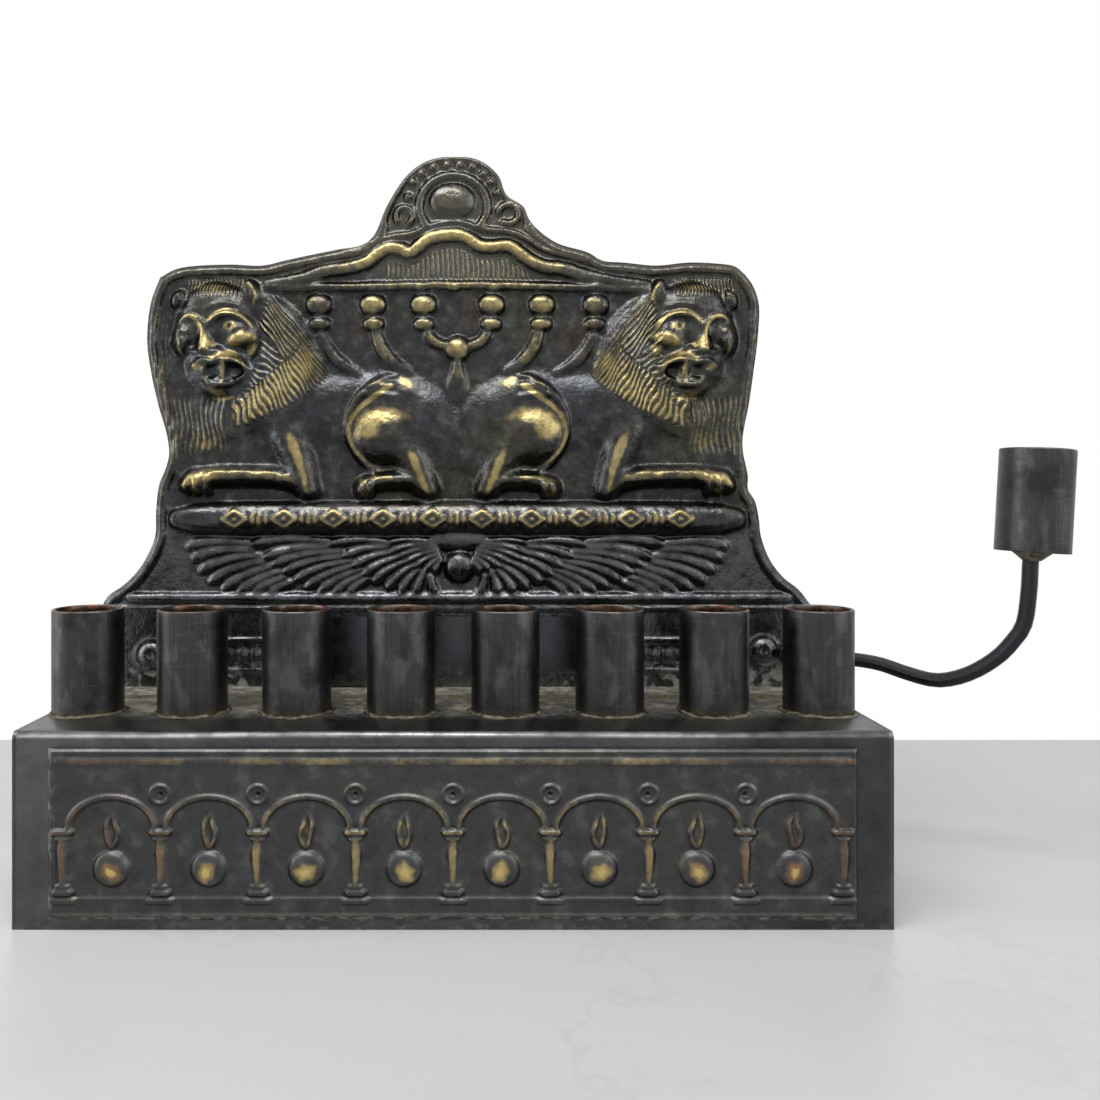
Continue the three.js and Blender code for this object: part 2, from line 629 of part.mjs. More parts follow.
function drawRollAndBand(map) {
  const { fromShare, toShare, count, shares } = bandEggs;
  const eggShares = Array.from({ length: count }, (_, i) => {
    return [THREE.MathUtils.lerp(fromShare, toShare, i / (count - 1)), ...shares];
  });
  map.blend(ridges(rollShares, rollRise, full), crisp);
  map.blend(domes(wingDiscShares, rollRise, full), crisp);
  map.blend(ridges(ledgeShares, ledgeRise, full), crisp);
  map.blend(ridges(bandShares, bandRise, full), crisp);
  map.blend(bothSides(domes(eggShares, bandRise, full)), crisp);
  map.blend(domes(bandBossShares, bandBossRise, full), crisp);
}

// The whole pressed picture
function plateMap() {
  const map = new HeightMap(plateMapShares, plateCellShare);
  drawLionBodies(map);
  drawLionHeads(map);
  drawTailsAndBranches(map);
  drawCanopyAndCrest(map);
  drawWings(map);
  drawRollAndBand(map);
  return map;
}

function edgeCurve(shares) {
  return new THREE.SplineCurve(shares.map(([x, z]) => new THREE.Vector2(x, z)));
}

const plateEdges = {
  left: edgeCurve(leftEdgeShares),
  right: edgeCurve(rightEdgeShares),
  top: edgeCurve(topEdgeShares),
};

// The raised line that follows the plate's edge above its ledge
function rimHeight(x, z, outline) {
  if (z < 0) return 0;
  let nearest = Infinity;
  for (let i = 1; i < outline.length; i += 1) {
    nearest = Math.min(nearest, besideStretch(x, z, outline[i - 1], outline[i]).away);
  }
  return rimRise * bump(Math.abs(nearest - rimInsetShare) / rimWidthShare, soft);
}

// A point of the patch that the plate's four edges span, for u and v from 0 to 1
function edgePatch(u, v, lines) {
  const bottom = new THREE.Vector2().lerpVectors(lines.left[0], lines.right[0], u);
  const { left, right, top } = lines;
  const at = (line, t) => line[Math.round(t * (line.length - 1))];
  const across = new THREE.Vector2().lerpVectors(at(left, v), at(right, v), u);
  const up = new THREE.Vector2().lerpVectors(bottom, at(top, u), v);
  const low = new THREE.Vector2().lerpVectors(left[0], right[0], u);
  const high = new THREE.Vector2().lerpVectors(left.at(-1), right.at(-1), u);
  return across.add(up).sub(low.lerp(high, v));
}

// The sum of squared distances to some planes, as a form that gives it for any point
class PlaneSum {
  constructor() {
    this.terms = new Float64Array(10);
  }

  addPlane(normal, constant, weight = 1) {
    const row = [normal.x, normal.y, normal.z, constant];
    let k = 0;
    for (let i = 0; i < 4; i += 1) {
      for (let j = i; j < 4; j += 1) {
        this.terms[k] += weight * row[i] * row[j];
        k += 1;
      }
    }
  }

  addSum(other) {
    other.terms.forEach((term, k) => { this.terms[k] += term; });
  }

  at({ x, y, z }) {
    const [xx, xy, xz, xw, yy, yz, yw, zz, zw, ww] = this.terms;
    return xx * x * x + yy * y * y + zz * z * z + ww
      + 2 * (xy * x * y + xz * x * z + yz * y * z + xw * x + yw * y + zw * z);
  }
}

// A grid of points, row by row from the bottom, as faces that look towards -Y
function gridFaces(across, up) {
  const faces = [];
  for (let j = 0; j < up; j += 1) {
    for (let i = 0; i < across; i += 1) {
      const low = j * (across + 1) + i;
      const high = low + across + 1;
      if ((i + j) % 2) faces.push([low, low + 1, high], [low + 1, high + 1, high]);
      else faces.push([low, low + 1, high + 1], [low, high + 1, high]);
    }
  }
  return faces;
}

// Moves points onto their neighbours, one after another, for as long as the surface stays within
// what is allowed of its planes. Points on the free edge only move along that edge, or not at all.
function thinnedFaces(points, faces, onEdge, allowed, edgeStays = false) {
  const rings = points.map(() => []);
  const sums = points.map(() => new PlaneSum());
  const outward = new THREE.Vector3(0, -1, 0);
  faces.forEach((face, f) => {
    const [a, b, c] = face.map((v) => points[v]);
    const plane = new THREE.Plane().setFromCoplanarPoints(a, b, c);
    face.forEach((v, corner) => {
      rings[v].push(f);
      sums[v].addPlane(plane.normal, plane.constant);
      const next = face[(corner + 1) % 3];
      if (!onEdge[v] || !onEdge[next]) return;
      const along = new THREE.Vector3().subVectors(points[next], points[v]).normalize();
      const wall = new THREE.Plane().setFromNormalAndCoplanarPoint(along.cross(outward), points[v]);
      [v, next].forEach((end) => sums[end].addPlane(wall.normal, wall.constant, edgeWeight));
    });
  });
  const neighbours = (v) => new Set(rings[v].flatMap((f) => faces[f]).filter((other) => other !== v));
  const facing = (face) => {
    const [a, b, c] = face.map((v) => points[v]);
    return new THREE.Triangle(a, b, c).getNormal(new THREE.Vector3());
  };
  const canMove = (v, to) => {
    const shared = rings[v].filter((f) => faces[f].includes(to));
    if (onEdge[v] && (edgeStays || !onEdge[to] || shared.length !== 1)) return false;
    const around = neighbours(to);
    if ([...neighbours(v)].filter((other) => around.has(other)).length !== shared.length) return false;
    return rings[v].every((f) => {
      if (faces[f].includes(to)) return true;
      const moved = faces[f].map((other) => (other === v ? to : other));
      const normal = facing(moved);
      return normal.dot(outward) > leastFacing && normal.dot(facing(faces[f])) > leastFacing;
    });
  };
  const move = (v, to) => {
    for (const f of rings[v]) {
      if (faces[f].includes(to)) {
        faces[f].forEach((other) => {
          if (other !== v) rings[other] = rings[other].filter((g) => g !== f);
        });
        faces[f] = null;
      } else {
        faces[f] = faces[f].map((other) => (other === v ? to : other));
        rings[to].push(f);
      }
    }
    rings[v] = [];
    sums[to].addSum(sums[v]);
  };
  for (let sweep = 1; sweep <= thinningSweeps; sweep += 1) {
    const limit = (allowed * sweep / thinningSweeps) ** 2;
    points.forEach((point, v) => {
      if (!rings[v].length) return;
      const choices = [...neighbours(v)]
        .map((to) => ({ to, cost: sums[v].at(points[to]) + sums[to].at(points[to]) }))
        .filter(({ cost }) => cost < limit)
        .sort((a, b) => a.cost - b.cost);
      const choice = choices.find(({ to }) => canMove(v, to));
      if (choice) move(v, choice.to);
    });
  }
  return faces.filter((face) => face);
}

// Closes a surface into a sheet: its free edge gets a wall, and its back is either flat, or has
// faces of its own between the same points, moved by the sheet's thickness
function closedSheet(points, faces, thickness, backFaces) {
  const edges = new Map();
  for (const [a, b, c] of faces) {
    for (const [p, q] of [[a, b], [b, c], [c, a]]) {
      if (!edges.delete(q + ' ' + p)) edges.set(p + ' ' + q, [p, q]);
    }
  }
  const next = new Map(edges.values());
  const loop = [next.keys().next().value];
  while (next.get(loop.at(-1)) !== loop[0]) loop.push(next.get(loop.at(-1)));
  const half = points.length;
  const index = faces.flat();
  for (const [p, q] of edges.values()) index.push(q, p, p + half, q, p + half, q + half);
  const flat = loop.map((v) => new THREE.Vector2(points[v].x, points[v].z));
  const flatFaces = () => THREE.ShapeUtils.triangulateShape(flat, []).map((face) => face.map((k) => loop[k]));
  for (const [a, b, c] of backFaces ?? flatFaces()) index.push(a + half, c + half, b + half);
  const shifted = points.map((point) => point.clone().add(new THREE.Vector3(0, thickness, 0)));
  const geometry = new THREE.BufferGeometry().setFromPoints([...points, ...shifted]);
  geometry.setIndex(index);
  return fromSolid(toSolid(geometry));
}

// The pressed picture as a sheet of even thickness, hollow behind every raised form
function pressedPlate() {
  const lines = {
    left: plateEdges.left.getSpacedPoints(plateRows),
    right: plateEdges.right.getSpacedPoints(plateRows),
    top: plateEdges.top.getSpacedPoints(plateColumns),
  };
  const corners = [...lines.left, ...lines.top, ...[...lines.right].reverse()];
  const outline = corners.map(({ x, y }) => ({ x, z: y }));
  const map = plateMap();
  const points = [];
  const onEdge = [];
  for (let j = 0; j <= plateRows; j += 1) {
    for (let i = 0; i <= plateColumns; i += 1) {
      const at = edgePatch(i / plateColumns, j / plateRows, lines);
      const free = i === 0 || j === 0 || i === plateColumns || j === plateRows;
      const height = free ? 0 : Math.max(map.at(at.x, at.y), rimHeight(at.x, at.y, outline), 0);
      onEdge.push(free);
      points.push(new THREE.Vector3(at.x * step, plateY - height, ledgeHeight + at.y * step));
    }
  }
  const faces = thinnedFaces(points, gridFaces(plateColumns, plateRows), onEdge, plateDeviation);
  const backFaces = thinnedFaces(points, faces.map((face) => [...face]), onEdge, backDeviation, true);
  return closedSheet(points, faces, plateSheet, backFaces);
}

// The plate's own foot, turned forward and soldered flat on the shelf
function backplate() {
  const foot = block(
    [-plateWidth / 2, plateY - plateFlange, baseHeight],
    [plateWidth / 2, plateY + plateSheet / 2, baseHeight + plateSheet]);
  const sheet = toSolid(pressedPlate());
  const shelfCut = block([-plateWidth, frontY, -baseHeight], [plateWidth, backY * 2, baseHeight]);
  return fromSolid(sheet.subtract(toSolid(shelfCut)).add(toSolid(foot)));
}

function centrePatch() {
  const shape = new THREE.Shape(patchShares.map(([x, z]) => new THREE.Vector2(x * step, z * step)));
  const geometry = new THREE.ExtrudeGeometry(shape, { depth: patchSheet, bevelEnabled: false });
  return geometry.rotateX(Math.PI / 2).translate(0, plateY - bandRise - patchGap, ledgeHeight);
}

// Half widths of a column's plinth, base, waist and capital, as shares of its shaft's
const plinthShare = 1.7;
const baseShare = 1.4;
const waistShare = 0.75;
const capitalShare = 1.5;
const flameSwellShare = 1.8;

// Heights in the arcade, as shares of the plaque's
const arcadeShares = {
  foot: 0.088, plinth: 0.139, shaft: 0.202, capital: 0.487, spring: 0.555, crown: 0.718,
  oilLamp: 0.298, flameFoot: 0.42, flameSwell: 0.49, flameTip: 0.626, roundel: 0.733, line: 0.895,
};
const arcadeHeight = (name) => arcadeShares[name] * plaqueHeight;

// The embossed arcade, drawn from the middle of the plaque's foot
function slab(x, low, high, half) {
  const row = (side) => [x + side * half, (low + high) / 2, (high - low) / 2, 1];
  return ridge([row(-1), row(1)], columnRise, full);
}

function columnMotifs(x) {
  const [foot, plinth, low, high, spring] =
    ['foot', 'plinth', 'shaft', 'capital', 'spring'].map(arcadeHeight);
  const waist = columnHalf * waistShare;
  const shaft = [[x, low, waist, 0.8], [x, (low + high) / 2, columnHalf, 1], [x, high, waist, 0.8]];
  return [
    slab(x, foot, plinth, columnHalf * plinthShare),
    slab(x, plinth, low, columnHalf * baseShare),
    ridge(shaft, columnRise, full),
    slab(x, high, spring, columnHalf * capitalShare),
  ];
}

function flameStrand(x, side) {
  const [foot, swell, tip] = ['flameFoot', 'flameSwell', 'flameTip'].map(arcadeHeight);
  const rows = [
    [x + side * flameHalf / 2, foot, flameHalf, 0.8],
    [x + side * flameHalf * flameSwellShare, swell, flameHalf, 1],
    [x + side * flameHalf / 2, tip, flameHalf / 2, 0.6],
  ];
  return ridge(rows, flameRise, full);
}

function bayMotifs(x) {
  const [spring, crown] = ['spring', 'crown'].map(arcadeHeight);
  const shares = [x, spring, bayWidth / 2 - columnHalf, crown - spring];
  return [
    arcRidge({ shares, from: 0, to: 180, width: archWidth, rise: 1 }, archRise, full),
    dome([x, arcadeHeight('oilLamp'), oilLampRadius, oilLampRadius, 0, 1], oilLampRise, full),
    flameStrand(x, -1),
    flameStrand(x, 1),
  ];
}

function roundel(x) {
  const shares = [x, arcadeHeight('roundel'), roundelRadius, roundelRadius];
  return arcRidge({ shares, from: 0, to: 360, width: roundelHalf, rise: 1 }, mouldingRise, full);
}

function plaqueLine(start, end, share) {
  const rows = [start, end].map((point) => [...point, plaqueLineHalf, share]);
  return ridge(rows, mouldingRise, full);
}

function plaqueMotifs() {
  const columns = Array.from({ length: bayCount + 1 }, (_, i) => (i - bayCount / 2) * bayWidth);
  const bays = columns.slice(1).map((x) => x - bayWidth / 2);
  const right = plaqueWidth / 2 - plaqueLineInset;
  const [low, high] = [plaqueLineInset, plaqueHeight - plaqueLineInset];
  return [
    plaqueLine([-right, low], [right, low], 1),
    plaqueLine([-right, high], [right, high], 1),
    plaqueLine([-right, low], [-right, high], 1),
    plaqueLine([right, low], [right, high], 1),
    plaqueLine([-right, arcadeHeight('line')], [right, arcadeHeight('line')], 0.8),
    ...columns.flatMap(columnMotifs),
    ...bays.flatMap(bayMotifs),
    ...columns.slice(1, -1).map(roundel),
  ];
}

function frontPlaque() {
  const map = new HeightMap([-plaqueWidth / 2, 0, plaqueWidth / 2, plaqueHeight], plaqueCell);
  map.blend(plaqueMotifs(), crisp);
  map.soften(plaqueRounding);
  const points = [];
  const onEdge = [];
  for (let j = 0; j <= plaqueRows; j += 1) {
    for (let i = 0; i <= plaqueColumns; i += 1) {
      const [x, z] = [(i / plaqueColumns - 0.5) * plaqueWidth, j / plaqueRows * plaqueHeight];
      const free = i === 0 || j === 0 || i === plaqueColumns || j === plaqueRows;
      const height = free ? 0 : map.at(x, z);
      onEdge.push(free);
      points.push(new THREE.Vector3(x, frontY - plaqueSheet - height, plaqueFoot + z));
    }
  }
  const faces = thinnedFaces(points, gridFaces(plaqueColumns, plaqueRows), onEdge, plaqueDeviation);
  return closedSheet(points, faces, plaqueSheet);
}

// The base's outline from the end: bottom front, up, over the bend, back and down
function baseProfile(inset, hem) {
  const [y0, y1, z1] = [frontY + inset, backY - inset, baseHeight - inset];
  const bend = baseBend - inset;
  const shape = new THREE.Path();
  shape.moveTo(y0, hem);
  shape.lineTo(y0, z1 - bend);
  shape.absarc(y0 + bend, z1 - bend, bend, Math.PI, Math.PI / 2, true);
  shape.lineTo(y1 - bend, z1);
  shape.absarc(y1 - bend, z1 - bend, bend, Math.PI / 2, 0, true);
  shape.lineTo(y1, hem);
  return shape.getPoints(bendSteps);
}

// Front, shelf and rear wall bent from one sheet, with hems turned in under the walls
function baseShell() {
  const outer = baseProfile(0, 0);
  const inner = baseProfile(baseSheet, baseSheet);
  const hemPoints = (wallY, side) => [
    new THREE.Vector2(wallY + side * footHem, baseSheet),
    new THREE.Vector2(wallY + side * footHem, 0),
  ];
  const front = hemPoints(frontY, 1);
  const rear = hemPoints(backY, -1);
  const points = [...outer, rear[1], rear[0], ...inner.reverse(), front[0], front[1]];
  return sweepAlongX(new THREE.Shape(points), endPlate - endX, endX - endPlate);
}

function endPlateAt(side) {
  const near = side * (endX - endPlate);
  const far = side * endX;
  return sweepAlongX(new THREE.Shape(baseProfile(0, 0)), Math.min(near, far), Math.max(near, far));
}

// A profile in the XZ plane, swept along Y
function sweepAlongY(points, fromY, toY) {
  const shape = new THREE.Shape(points.map(([x, z]) => new THREE.Vector2(x, z)));
  const geometry = new THREE.ExtrudeGeometry(shape, { depth: toY - fromY, bevelEnabled: false });
  return geometry.rotateX(Math.PI / 2).translate(0, toY, 0);
}

// A bead of solder in the corner between an end plate and the shelf, inside the base
function seamSolder(side) {
  const corner = side * (endX - endPlate);
  const top = baseHeight - baseSheet;
  const points = [[corner, top], [corner - side * seamBead, top], [corner, top - seamBead]];
  const reach = baseDepth / 2 - baseSheet - baseBend;
  return sweepAlongY(points, -reach, reach);
}

// A three-cornered bead with its corner at [y, z], reaching forward, and up or down by side
function cornerBead(y, z, reach, side) {
  const corners = [[y, z], [y, z + side * reach], [y - reach, z]];
  return new THREE.Shape(corners.map((corner) => new THREE.Vector2(...corner)));
}

// A thin crust of solder along the front of the plate's foot
function footSolder() {
  const [y, z] = [plateY - plateFlange, baseHeight];
  return sweepAlongX(cornerBead(y, z, flangeBead, 1), -plateWidth / 2, plateWidth / 2);
}

// A thin crust of solder under the plaque, where its foot meets the front wall
function plaqueSolder() {
  const [y, z] = [frontY, plaqueFoot];
  return sweepAlongX(cornerBead(y, z, plaqueBead, -1), -plaqueWidth / 2, plaqueWidth / 2);
}

function cupTube() {
  const [outer, inner] = [cupRadius, cupRadius - cupWall];
  return turnedRing([
    [inner, 0], [outer, 0], [outer, cupHeight - rimChamfer], [outer - rimChamfer, cupHeight],
    [inner, cupHeight],
  ]);
}

function solderRing(x) {
  const inner = cupRadius + fitGap;
  const ring = turnedRing([[inner, 0], [inner + filletReach, 0], [inner, filletRise]]);
  ring.translate(x, cupY, baseHeight);
  const shelf = block([-endX, frontY, 0], [endX, backY, baseHeight + filletRise * 2]);
  return fromSolid(toSolid(ring).intersect(toSolid(shelf)));
}

function cupX(number) {
  return cupRowOffset + (number - (cupCount - 1) / 2) * cupPitch;
}

// The rod's middle line, from its root on the backplate round to under the ninth cup
function armCourse() {
  const rootY = plateY - armDiameter / 2 - rootGap;
  const end = shamashHeight;
  const reachX = shamashX - armRootX;
  const points = armCourseShares.map(([x, y, z]) => new THREE.Vector3(
    armRootX + x * reachX,
    THREE.MathUtils.lerp(rootY, cupY, y),
    armRootHeight + z * (end - armRootHeight)));
  return new THREE.CatmullRomCurve3(points, false, 'centripetal');
}

function shamashArm() {
  const circle = new THREE.Shape();
  circle.absarc(0, 0, armDiameter / 2, 0, Math.PI * 2);
  const points = circle.getPoints(armSides).slice(0, -1);
  return new THREE.ExtrudeGeometry(new THREE.Shape(points), {
    steps: armSteps, extrudePath: armCourse(), bevelEnabled: false,
  });
}

// The ninth cup has a floor of its own, let into its foot
function shamashFloorDisc() {
  const radius = cupRadius - cupWall - fitGap;
  return new THREE.CylinderGeometry(radius, radius, shamashFloor, turnSides)
    .rotateX(Math.PI / 2).translate(0, 0, shamashFloor / 2);
}

// A short flared cone, cut out where the rod runs through it
function shamashCollar() {
  const rod = armDiameter / 2;
  const cone = new THREE.CylinderGeometry(rod + collarReach, rod + collarGap, collarRise, turnSides);
  cone.rotateX(Math.PI / 2).translate(0, 0, -collarRise / 2 - fitGap);
  return cone;
}

// A lump of solder round the rod's root, against the plate
function rootSolder() {
  const reach = armDiameter / 2 + rootBlobReach;
  const lump = new THREE.SphereGeometry(1, lumpSides, lumpSides / 2);
  lump.scale(rootBlobLength / 2, reach, reach);
  lump.translate(armRootX + rootBlobLength / 2, plateY - fitGap, armRootHeight);
  const front = block(
    [armRootX - rootBlobLength, plateY - reach * 2, armRootHeight - reach * 2],
    [armRootX + rootBlobLength * 2, plateY - fitGap, armRootHeight + reach * 2]);
  return toSolid(lump).intersect(toSolid(front));
}

const lamp = new THREE.Group();
lamp.add(piece('base_shell', baseShell(), 'base'));
lamp.add(piece('base_end_left', endPlateAt(-1), 'base'));
lamp.add(piece('base_end_right', endPlateAt(1), 'base'));
lamp.add(piece('seam_solder_left', seamSolder(-1), 'solder'));
lamp.add(piece('seam_solder_right', seamSolder(1), 'solder'));
lamp.add(piece('front_plaque', frontPlaque(), 'plaque'));
lamp.add(piece('plaque_solder', plaqueSolder(), 'solder'));
lamp.add(piece('backplate', backplate(), 'plate'));
lamp.add(piece('foot_solder', footSolder(), 'solder'));
lamp.add(piece('centre_plate', centrePatch(), 'plate'));
for (let i = 0; i < cupCount; i += 1) {
  const cup = piece('cup_' + (i + 1), cupTube(), 'cup');
  cup.position.set(cupX(i), cupY, baseHeight);
  lamp.add(cup, piece('solder_ring_' + (i + 1), solderRing(cupX(i)), 'solder'));
}

// The rod ends flat under the ninth cup, and the cup leans away from the lamp
const head = new THREE.Group();
head.position.set(shamashX, cupY, shamashHeight);
head.rotation.y = THREE.MathUtils.degToRad(shamashLean);
head.updateMatrix();
const cupSpace = block([-cupRadius, -cupRadius, -rodGap], [cupRadius, cupRadius, cupHeight]);
const rod = toSolid(shamashArm()).subtract(toSolid(cupSpace.applyMatrix4(head.matrix)));
const collar = fromSolid(toSolid(shamashCollar().applyMatrix4(head.matrix)).subtract(rod));
lamp.add(piece('shamash_arm', fromSolid(rod), 'cup'));
lamp.add(piece('shamash_collar', collar, 'solder'));
lamp.add(piece('shamash_root_solder', fromSolid(rootSolder().subtract(rod)), 'solder'));
head.add(piece('shamash_cup', cupTube(), 'cup'), piece('shamash_floor', shamashFloorDisc(), 'cup'));
lamp.add(head);

// The origin goes to the middle of the whole lamp's box, on the table
const box = new THREE.Box3().setFromObject(lamp, true);
lamp.position.set(-(box.min.x + box.max.x) / 2, -(box.min.y + box.max.y) / 2, 0);

export default lamp;
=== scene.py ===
import math
import bpy
import numpy as np
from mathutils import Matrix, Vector


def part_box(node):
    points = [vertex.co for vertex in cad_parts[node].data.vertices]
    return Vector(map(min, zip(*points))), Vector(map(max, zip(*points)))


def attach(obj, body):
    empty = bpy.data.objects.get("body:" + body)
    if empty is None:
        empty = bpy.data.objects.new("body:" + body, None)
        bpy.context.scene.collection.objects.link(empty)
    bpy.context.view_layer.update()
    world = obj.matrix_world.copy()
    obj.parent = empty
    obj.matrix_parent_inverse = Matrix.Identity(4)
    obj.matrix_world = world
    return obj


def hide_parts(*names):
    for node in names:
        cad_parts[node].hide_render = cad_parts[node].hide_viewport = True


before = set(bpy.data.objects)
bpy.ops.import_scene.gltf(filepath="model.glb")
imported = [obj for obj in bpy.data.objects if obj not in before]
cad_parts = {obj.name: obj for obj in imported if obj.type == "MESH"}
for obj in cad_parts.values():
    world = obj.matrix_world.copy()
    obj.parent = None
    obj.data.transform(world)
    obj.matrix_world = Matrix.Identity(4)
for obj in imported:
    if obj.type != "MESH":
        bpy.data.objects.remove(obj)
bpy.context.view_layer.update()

MM = 0.001
RNG = np.random.default_rng(7)

# Sizes of the lamp in millimetres, and the side cup's lean in degrees, as in its source
BASE_WIDTH, BASE_HEIGHT = 247.0, 55.4
CUP_RADIUS, CUP_WALL, CUP_HEIGHT, CUP_PITCH, CUP_ROW, CUP_DEPTH = 10.5, 1.0, 31.6, 32.1, -0.6, 26.5
SIDE_CUP_X, SIDE_CUP_Z, SIDE_CUP_LEAN = 177.6, 48.9, 3.2
BASE_SHEET, BASE_HEM, BASE_BEND = 1.2, 8.0, 2.0
PLATE_WIDTH, PLATE_SHEET, PLATE_FLANGE = 242.0, 1.0, 13.5
PLATE_STEPS, LEDGE_STEPS = 710, 82
STEP = PLATE_WIDTH / PLATE_STEPS
LEDGE = BASE_HEIGHT + LEDGE_STEPS * STEP
low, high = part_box("base_shell")
TOP_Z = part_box("backplate")[1][2] / MM - 0.05
MID_X = (low[0] + high[0]) / 2 / MM
FRONT_Y = low[1] / MM
BACK_Y = high[1] / MM
PLATE_Y = BACK_Y - PLATE_SHEET
CUP_Y = FRONT_Y + CUP_DEPTH


# Relief drawn on a grid of steps
class Relief:
    def __init__(self, x0, x1, z0, z1, cell=1.0):
        self.x0, self.z0, self.cell = x0, z0, cell
        self.xs = np.arange(x0, x1 + cell, cell)
        self.zs = np.arange(z0, z1 + cell, cell)
        self.h = np.zeros((len(self.zs), len(self.xs)))

    def lay(self, box, height, soft, add):
        i0 = max(int((box[0] - self.x0) / self.cell), 0)
        i1 = min(int((box[2] - self.x0) / self.cell) + 2, len(self.xs))
        j0 = max(int((box[1] - self.z0) / self.cell), 0)
        j1 = min(int((box[3] - self.z0) / self.cell) + 2, len(self.zs))
        if i0 >= i1 or j0 >= j1:
            return
        x, z = np.meshgrid(self.xs[i0:i1], self.zs[j0:j1])
        own, now = height(x, z), self.h[j0:j1, i0:i1]
        if add:
            self.h[j0:j1, i0:i1] = now + own
            return
        reach = np.maximum(soft * np.minimum(1, np.maximum(own, 0) / soft), 1e-6)
        blend = np.clip(reach - np.abs(now - own), 0, None) / reach
        self.h[j0:j1, i0:i1] = np.where(own > 0, np.maximum(now, own) + blend * blend * reach / 4, now)

    def place(self, box, height, mirror, shift, soft, add):
        self.lay(box, height, soft, add)
        if mirror:
            other = (-box[2] + shift, box[1], -box[0] + shift, box[3])
            self.lay(other, lambda x, z: height(shift - x, z), soft, add)

    def domes(self, rows, rise, power=0.75, mirror=False, shift=0.0, soft=1.1, add=False):
        for row in rows:
            reach = max(row[2], row[3])
            box = (row[0] - reach, row[1] - reach, row[0] + reach, row[1] + reach)
            self.place(box, dome(row, rise, power), mirror, shift, soft, add)

    def ridges(self, courses, rise, power=0.75, mirror=False, shift=0.0, soft=1.1, add=False):
        for rows in courses:
            pts = course(rows)
            r = pts[:, 2].max()
            box = (pts[:, 0].min() - r, pts[:, 1].min() - r, pts[:, 0].max() + r, pts[:, 1].max() + r)
            self.place(box, ridge(pts, rise, power), mirror, shift, soft, add)

    def soften(self, sigma):
        self.h = blur(self.h, sigma / self.cell)

    def at(self, x, z, grid=None):
        grid = self.h if grid is None else grid
        u = np.clip((x - self.x0) / self.cell, 0, grid.shape[1] - 1.001)
        v = np.clip((z - self.z0) / self.cell, 0, grid.shape[0] - 1.001)
        i, j = u.astype(int), v.astype(int)
        a, b = u - i, v - j
        return ((grid[j, i] * (1 - a) + grid[j, i + 1] * a) * (1 - b)
                + (grid[j + 1, i] * (1 - a) + grid[j + 1, i + 1] * a) * b)


def blur(grid, sigma):
    n = max(int(sigma * 3 + 0.5), 1)
    taps = np.exp(-0.5 * (np.arange(-n, n + 1) / sigma) ** 2)
    taps /= taps.sum()
    for axis in (0, 1):
        padded = np.pad(grid, [(n, n) if a == axis else (0, 0) for a in (0, 1)], mode="edge")
        size = grid.shape[axis]
        grid = sum(w * np.take(padded, range(k, k + size), axis) for k, w in enumerate(taps))
    return grid


def bump(d, power):
    return np.clip(1 - d * d, 0, None) ** power


def dome(row, rise, power):
    cx, cz, hw, hh, turn, share = row[:6]
    power = row[6] if len(row) > 6 else power
    c, s = math.cos(math.radians(turn)), math.sin(math.radians(turn))

    def height(x, z):
        across, up = (x - cx) * c + (z - cz) * s, (z - cz) * c - (x - cx) * s
        return share * rise * bump(np.hypot(across / hw, up / hh), power)
    return height


def course(rows, per=6):
    p = np.array([r[:2] for r in rows], float)
    n, out = len(p), []
    for k in range((n - 1) * per + 1):
        t = k / per
        i = min(int(t), n - 2)
        w = t - i
        p1, p2 = p[i], p[i + 1]
        p0 = p[i - 1] if i > 0 else 2 * p[0] - p[1]
        p3 = p[i + 2] if i + 2 < n else 2 * p[-1] - p[-2]
        d0, d1, d2 = [max(np.sum((b - a) ** 2) ** 0.25, 1e-3) for a, b in ((p0, p1), (p1, p2), (p2, p3))]
        m1 = ((p1 - p0) / d0 - (p2 - p0) / (d0 + d1) + (p2 - p1) / d1) * d1
        m2 = ((p2 - p1) / d1 - (p3 - p1) / (d1 + d2) + (p3 - p2) / d2) * d1
        bend, twist = -3 * p1 + 3 * p2 - 2 * m1 - m2, 2 * p1 - 2 * p2 + m1 + m2
        out.append(p1 + m1 * w + bend * w * w + twist * w ** 3)
    out = np.array(out)
    t = np.linspace(0, n - 1, len(out))
    width = np.interp(t, np.arange(n), [r[2] for r in rows])
    share = np.interp(t, np.arange(n), [r[3] for r in rows])
    return np.column_stack([out, width, share])


def ridge(pts, rise, power):
    def height(x, z):
        best = np.zeros_like(x)
        for a, b in zip(pts[:-1], pts[1:]):
            rx, rz = b[0] - a[0], b[1] - a[1]
            run = rx * rx + rz * rz
            if run < 1e-9:
                continue
            t = np.clip(((x - a[0]) * rx + (z - a[1]) * rz) / run, 0, 1)
            away = np.hypot(x - a[0] - t * rx, z - a[1] - t * rz)
            half = a[2] + (b[2] - a[2]) * t
            best = np.maximum(best, (a[3] + (b[3] - a[3]) * t) * rise * bump(away / half, power))
        return best
    return height


# The pressed picture of the backplate, in steps from the middle of its ledge; rises in millimetres
BODY, HEAD, FACE, LAMPS, CANOPY, CREST = 4.6, 6.6, 1.7, 3.2, 2.4, 3.2
ROLL, WING, RAIL, MARKS = 4.6, 1.5, 2.0, 0.7
WINDOW = (-360, 360, -90, 460)
TWINS = dict(mirror=True)
FACES = dict(mirror=True, shift=-6)
CUTS = dict(mirror=True, add=True)


def arc(cx, cz, hw, hh, a0, a1, width, share, n=16):
    turns = [math.radians(a0 + (a1 - a0) * i / n) for i in range(n + 1)]
    return [[cx + hw * math.cos(a), cz + hh * math.sin(a), width, share] for a in turns]


def line(x0, z0, x1, z1, width=0.9, share=1.0):
    return [[x0, z0, width, share], [x1, z1, width, share]]


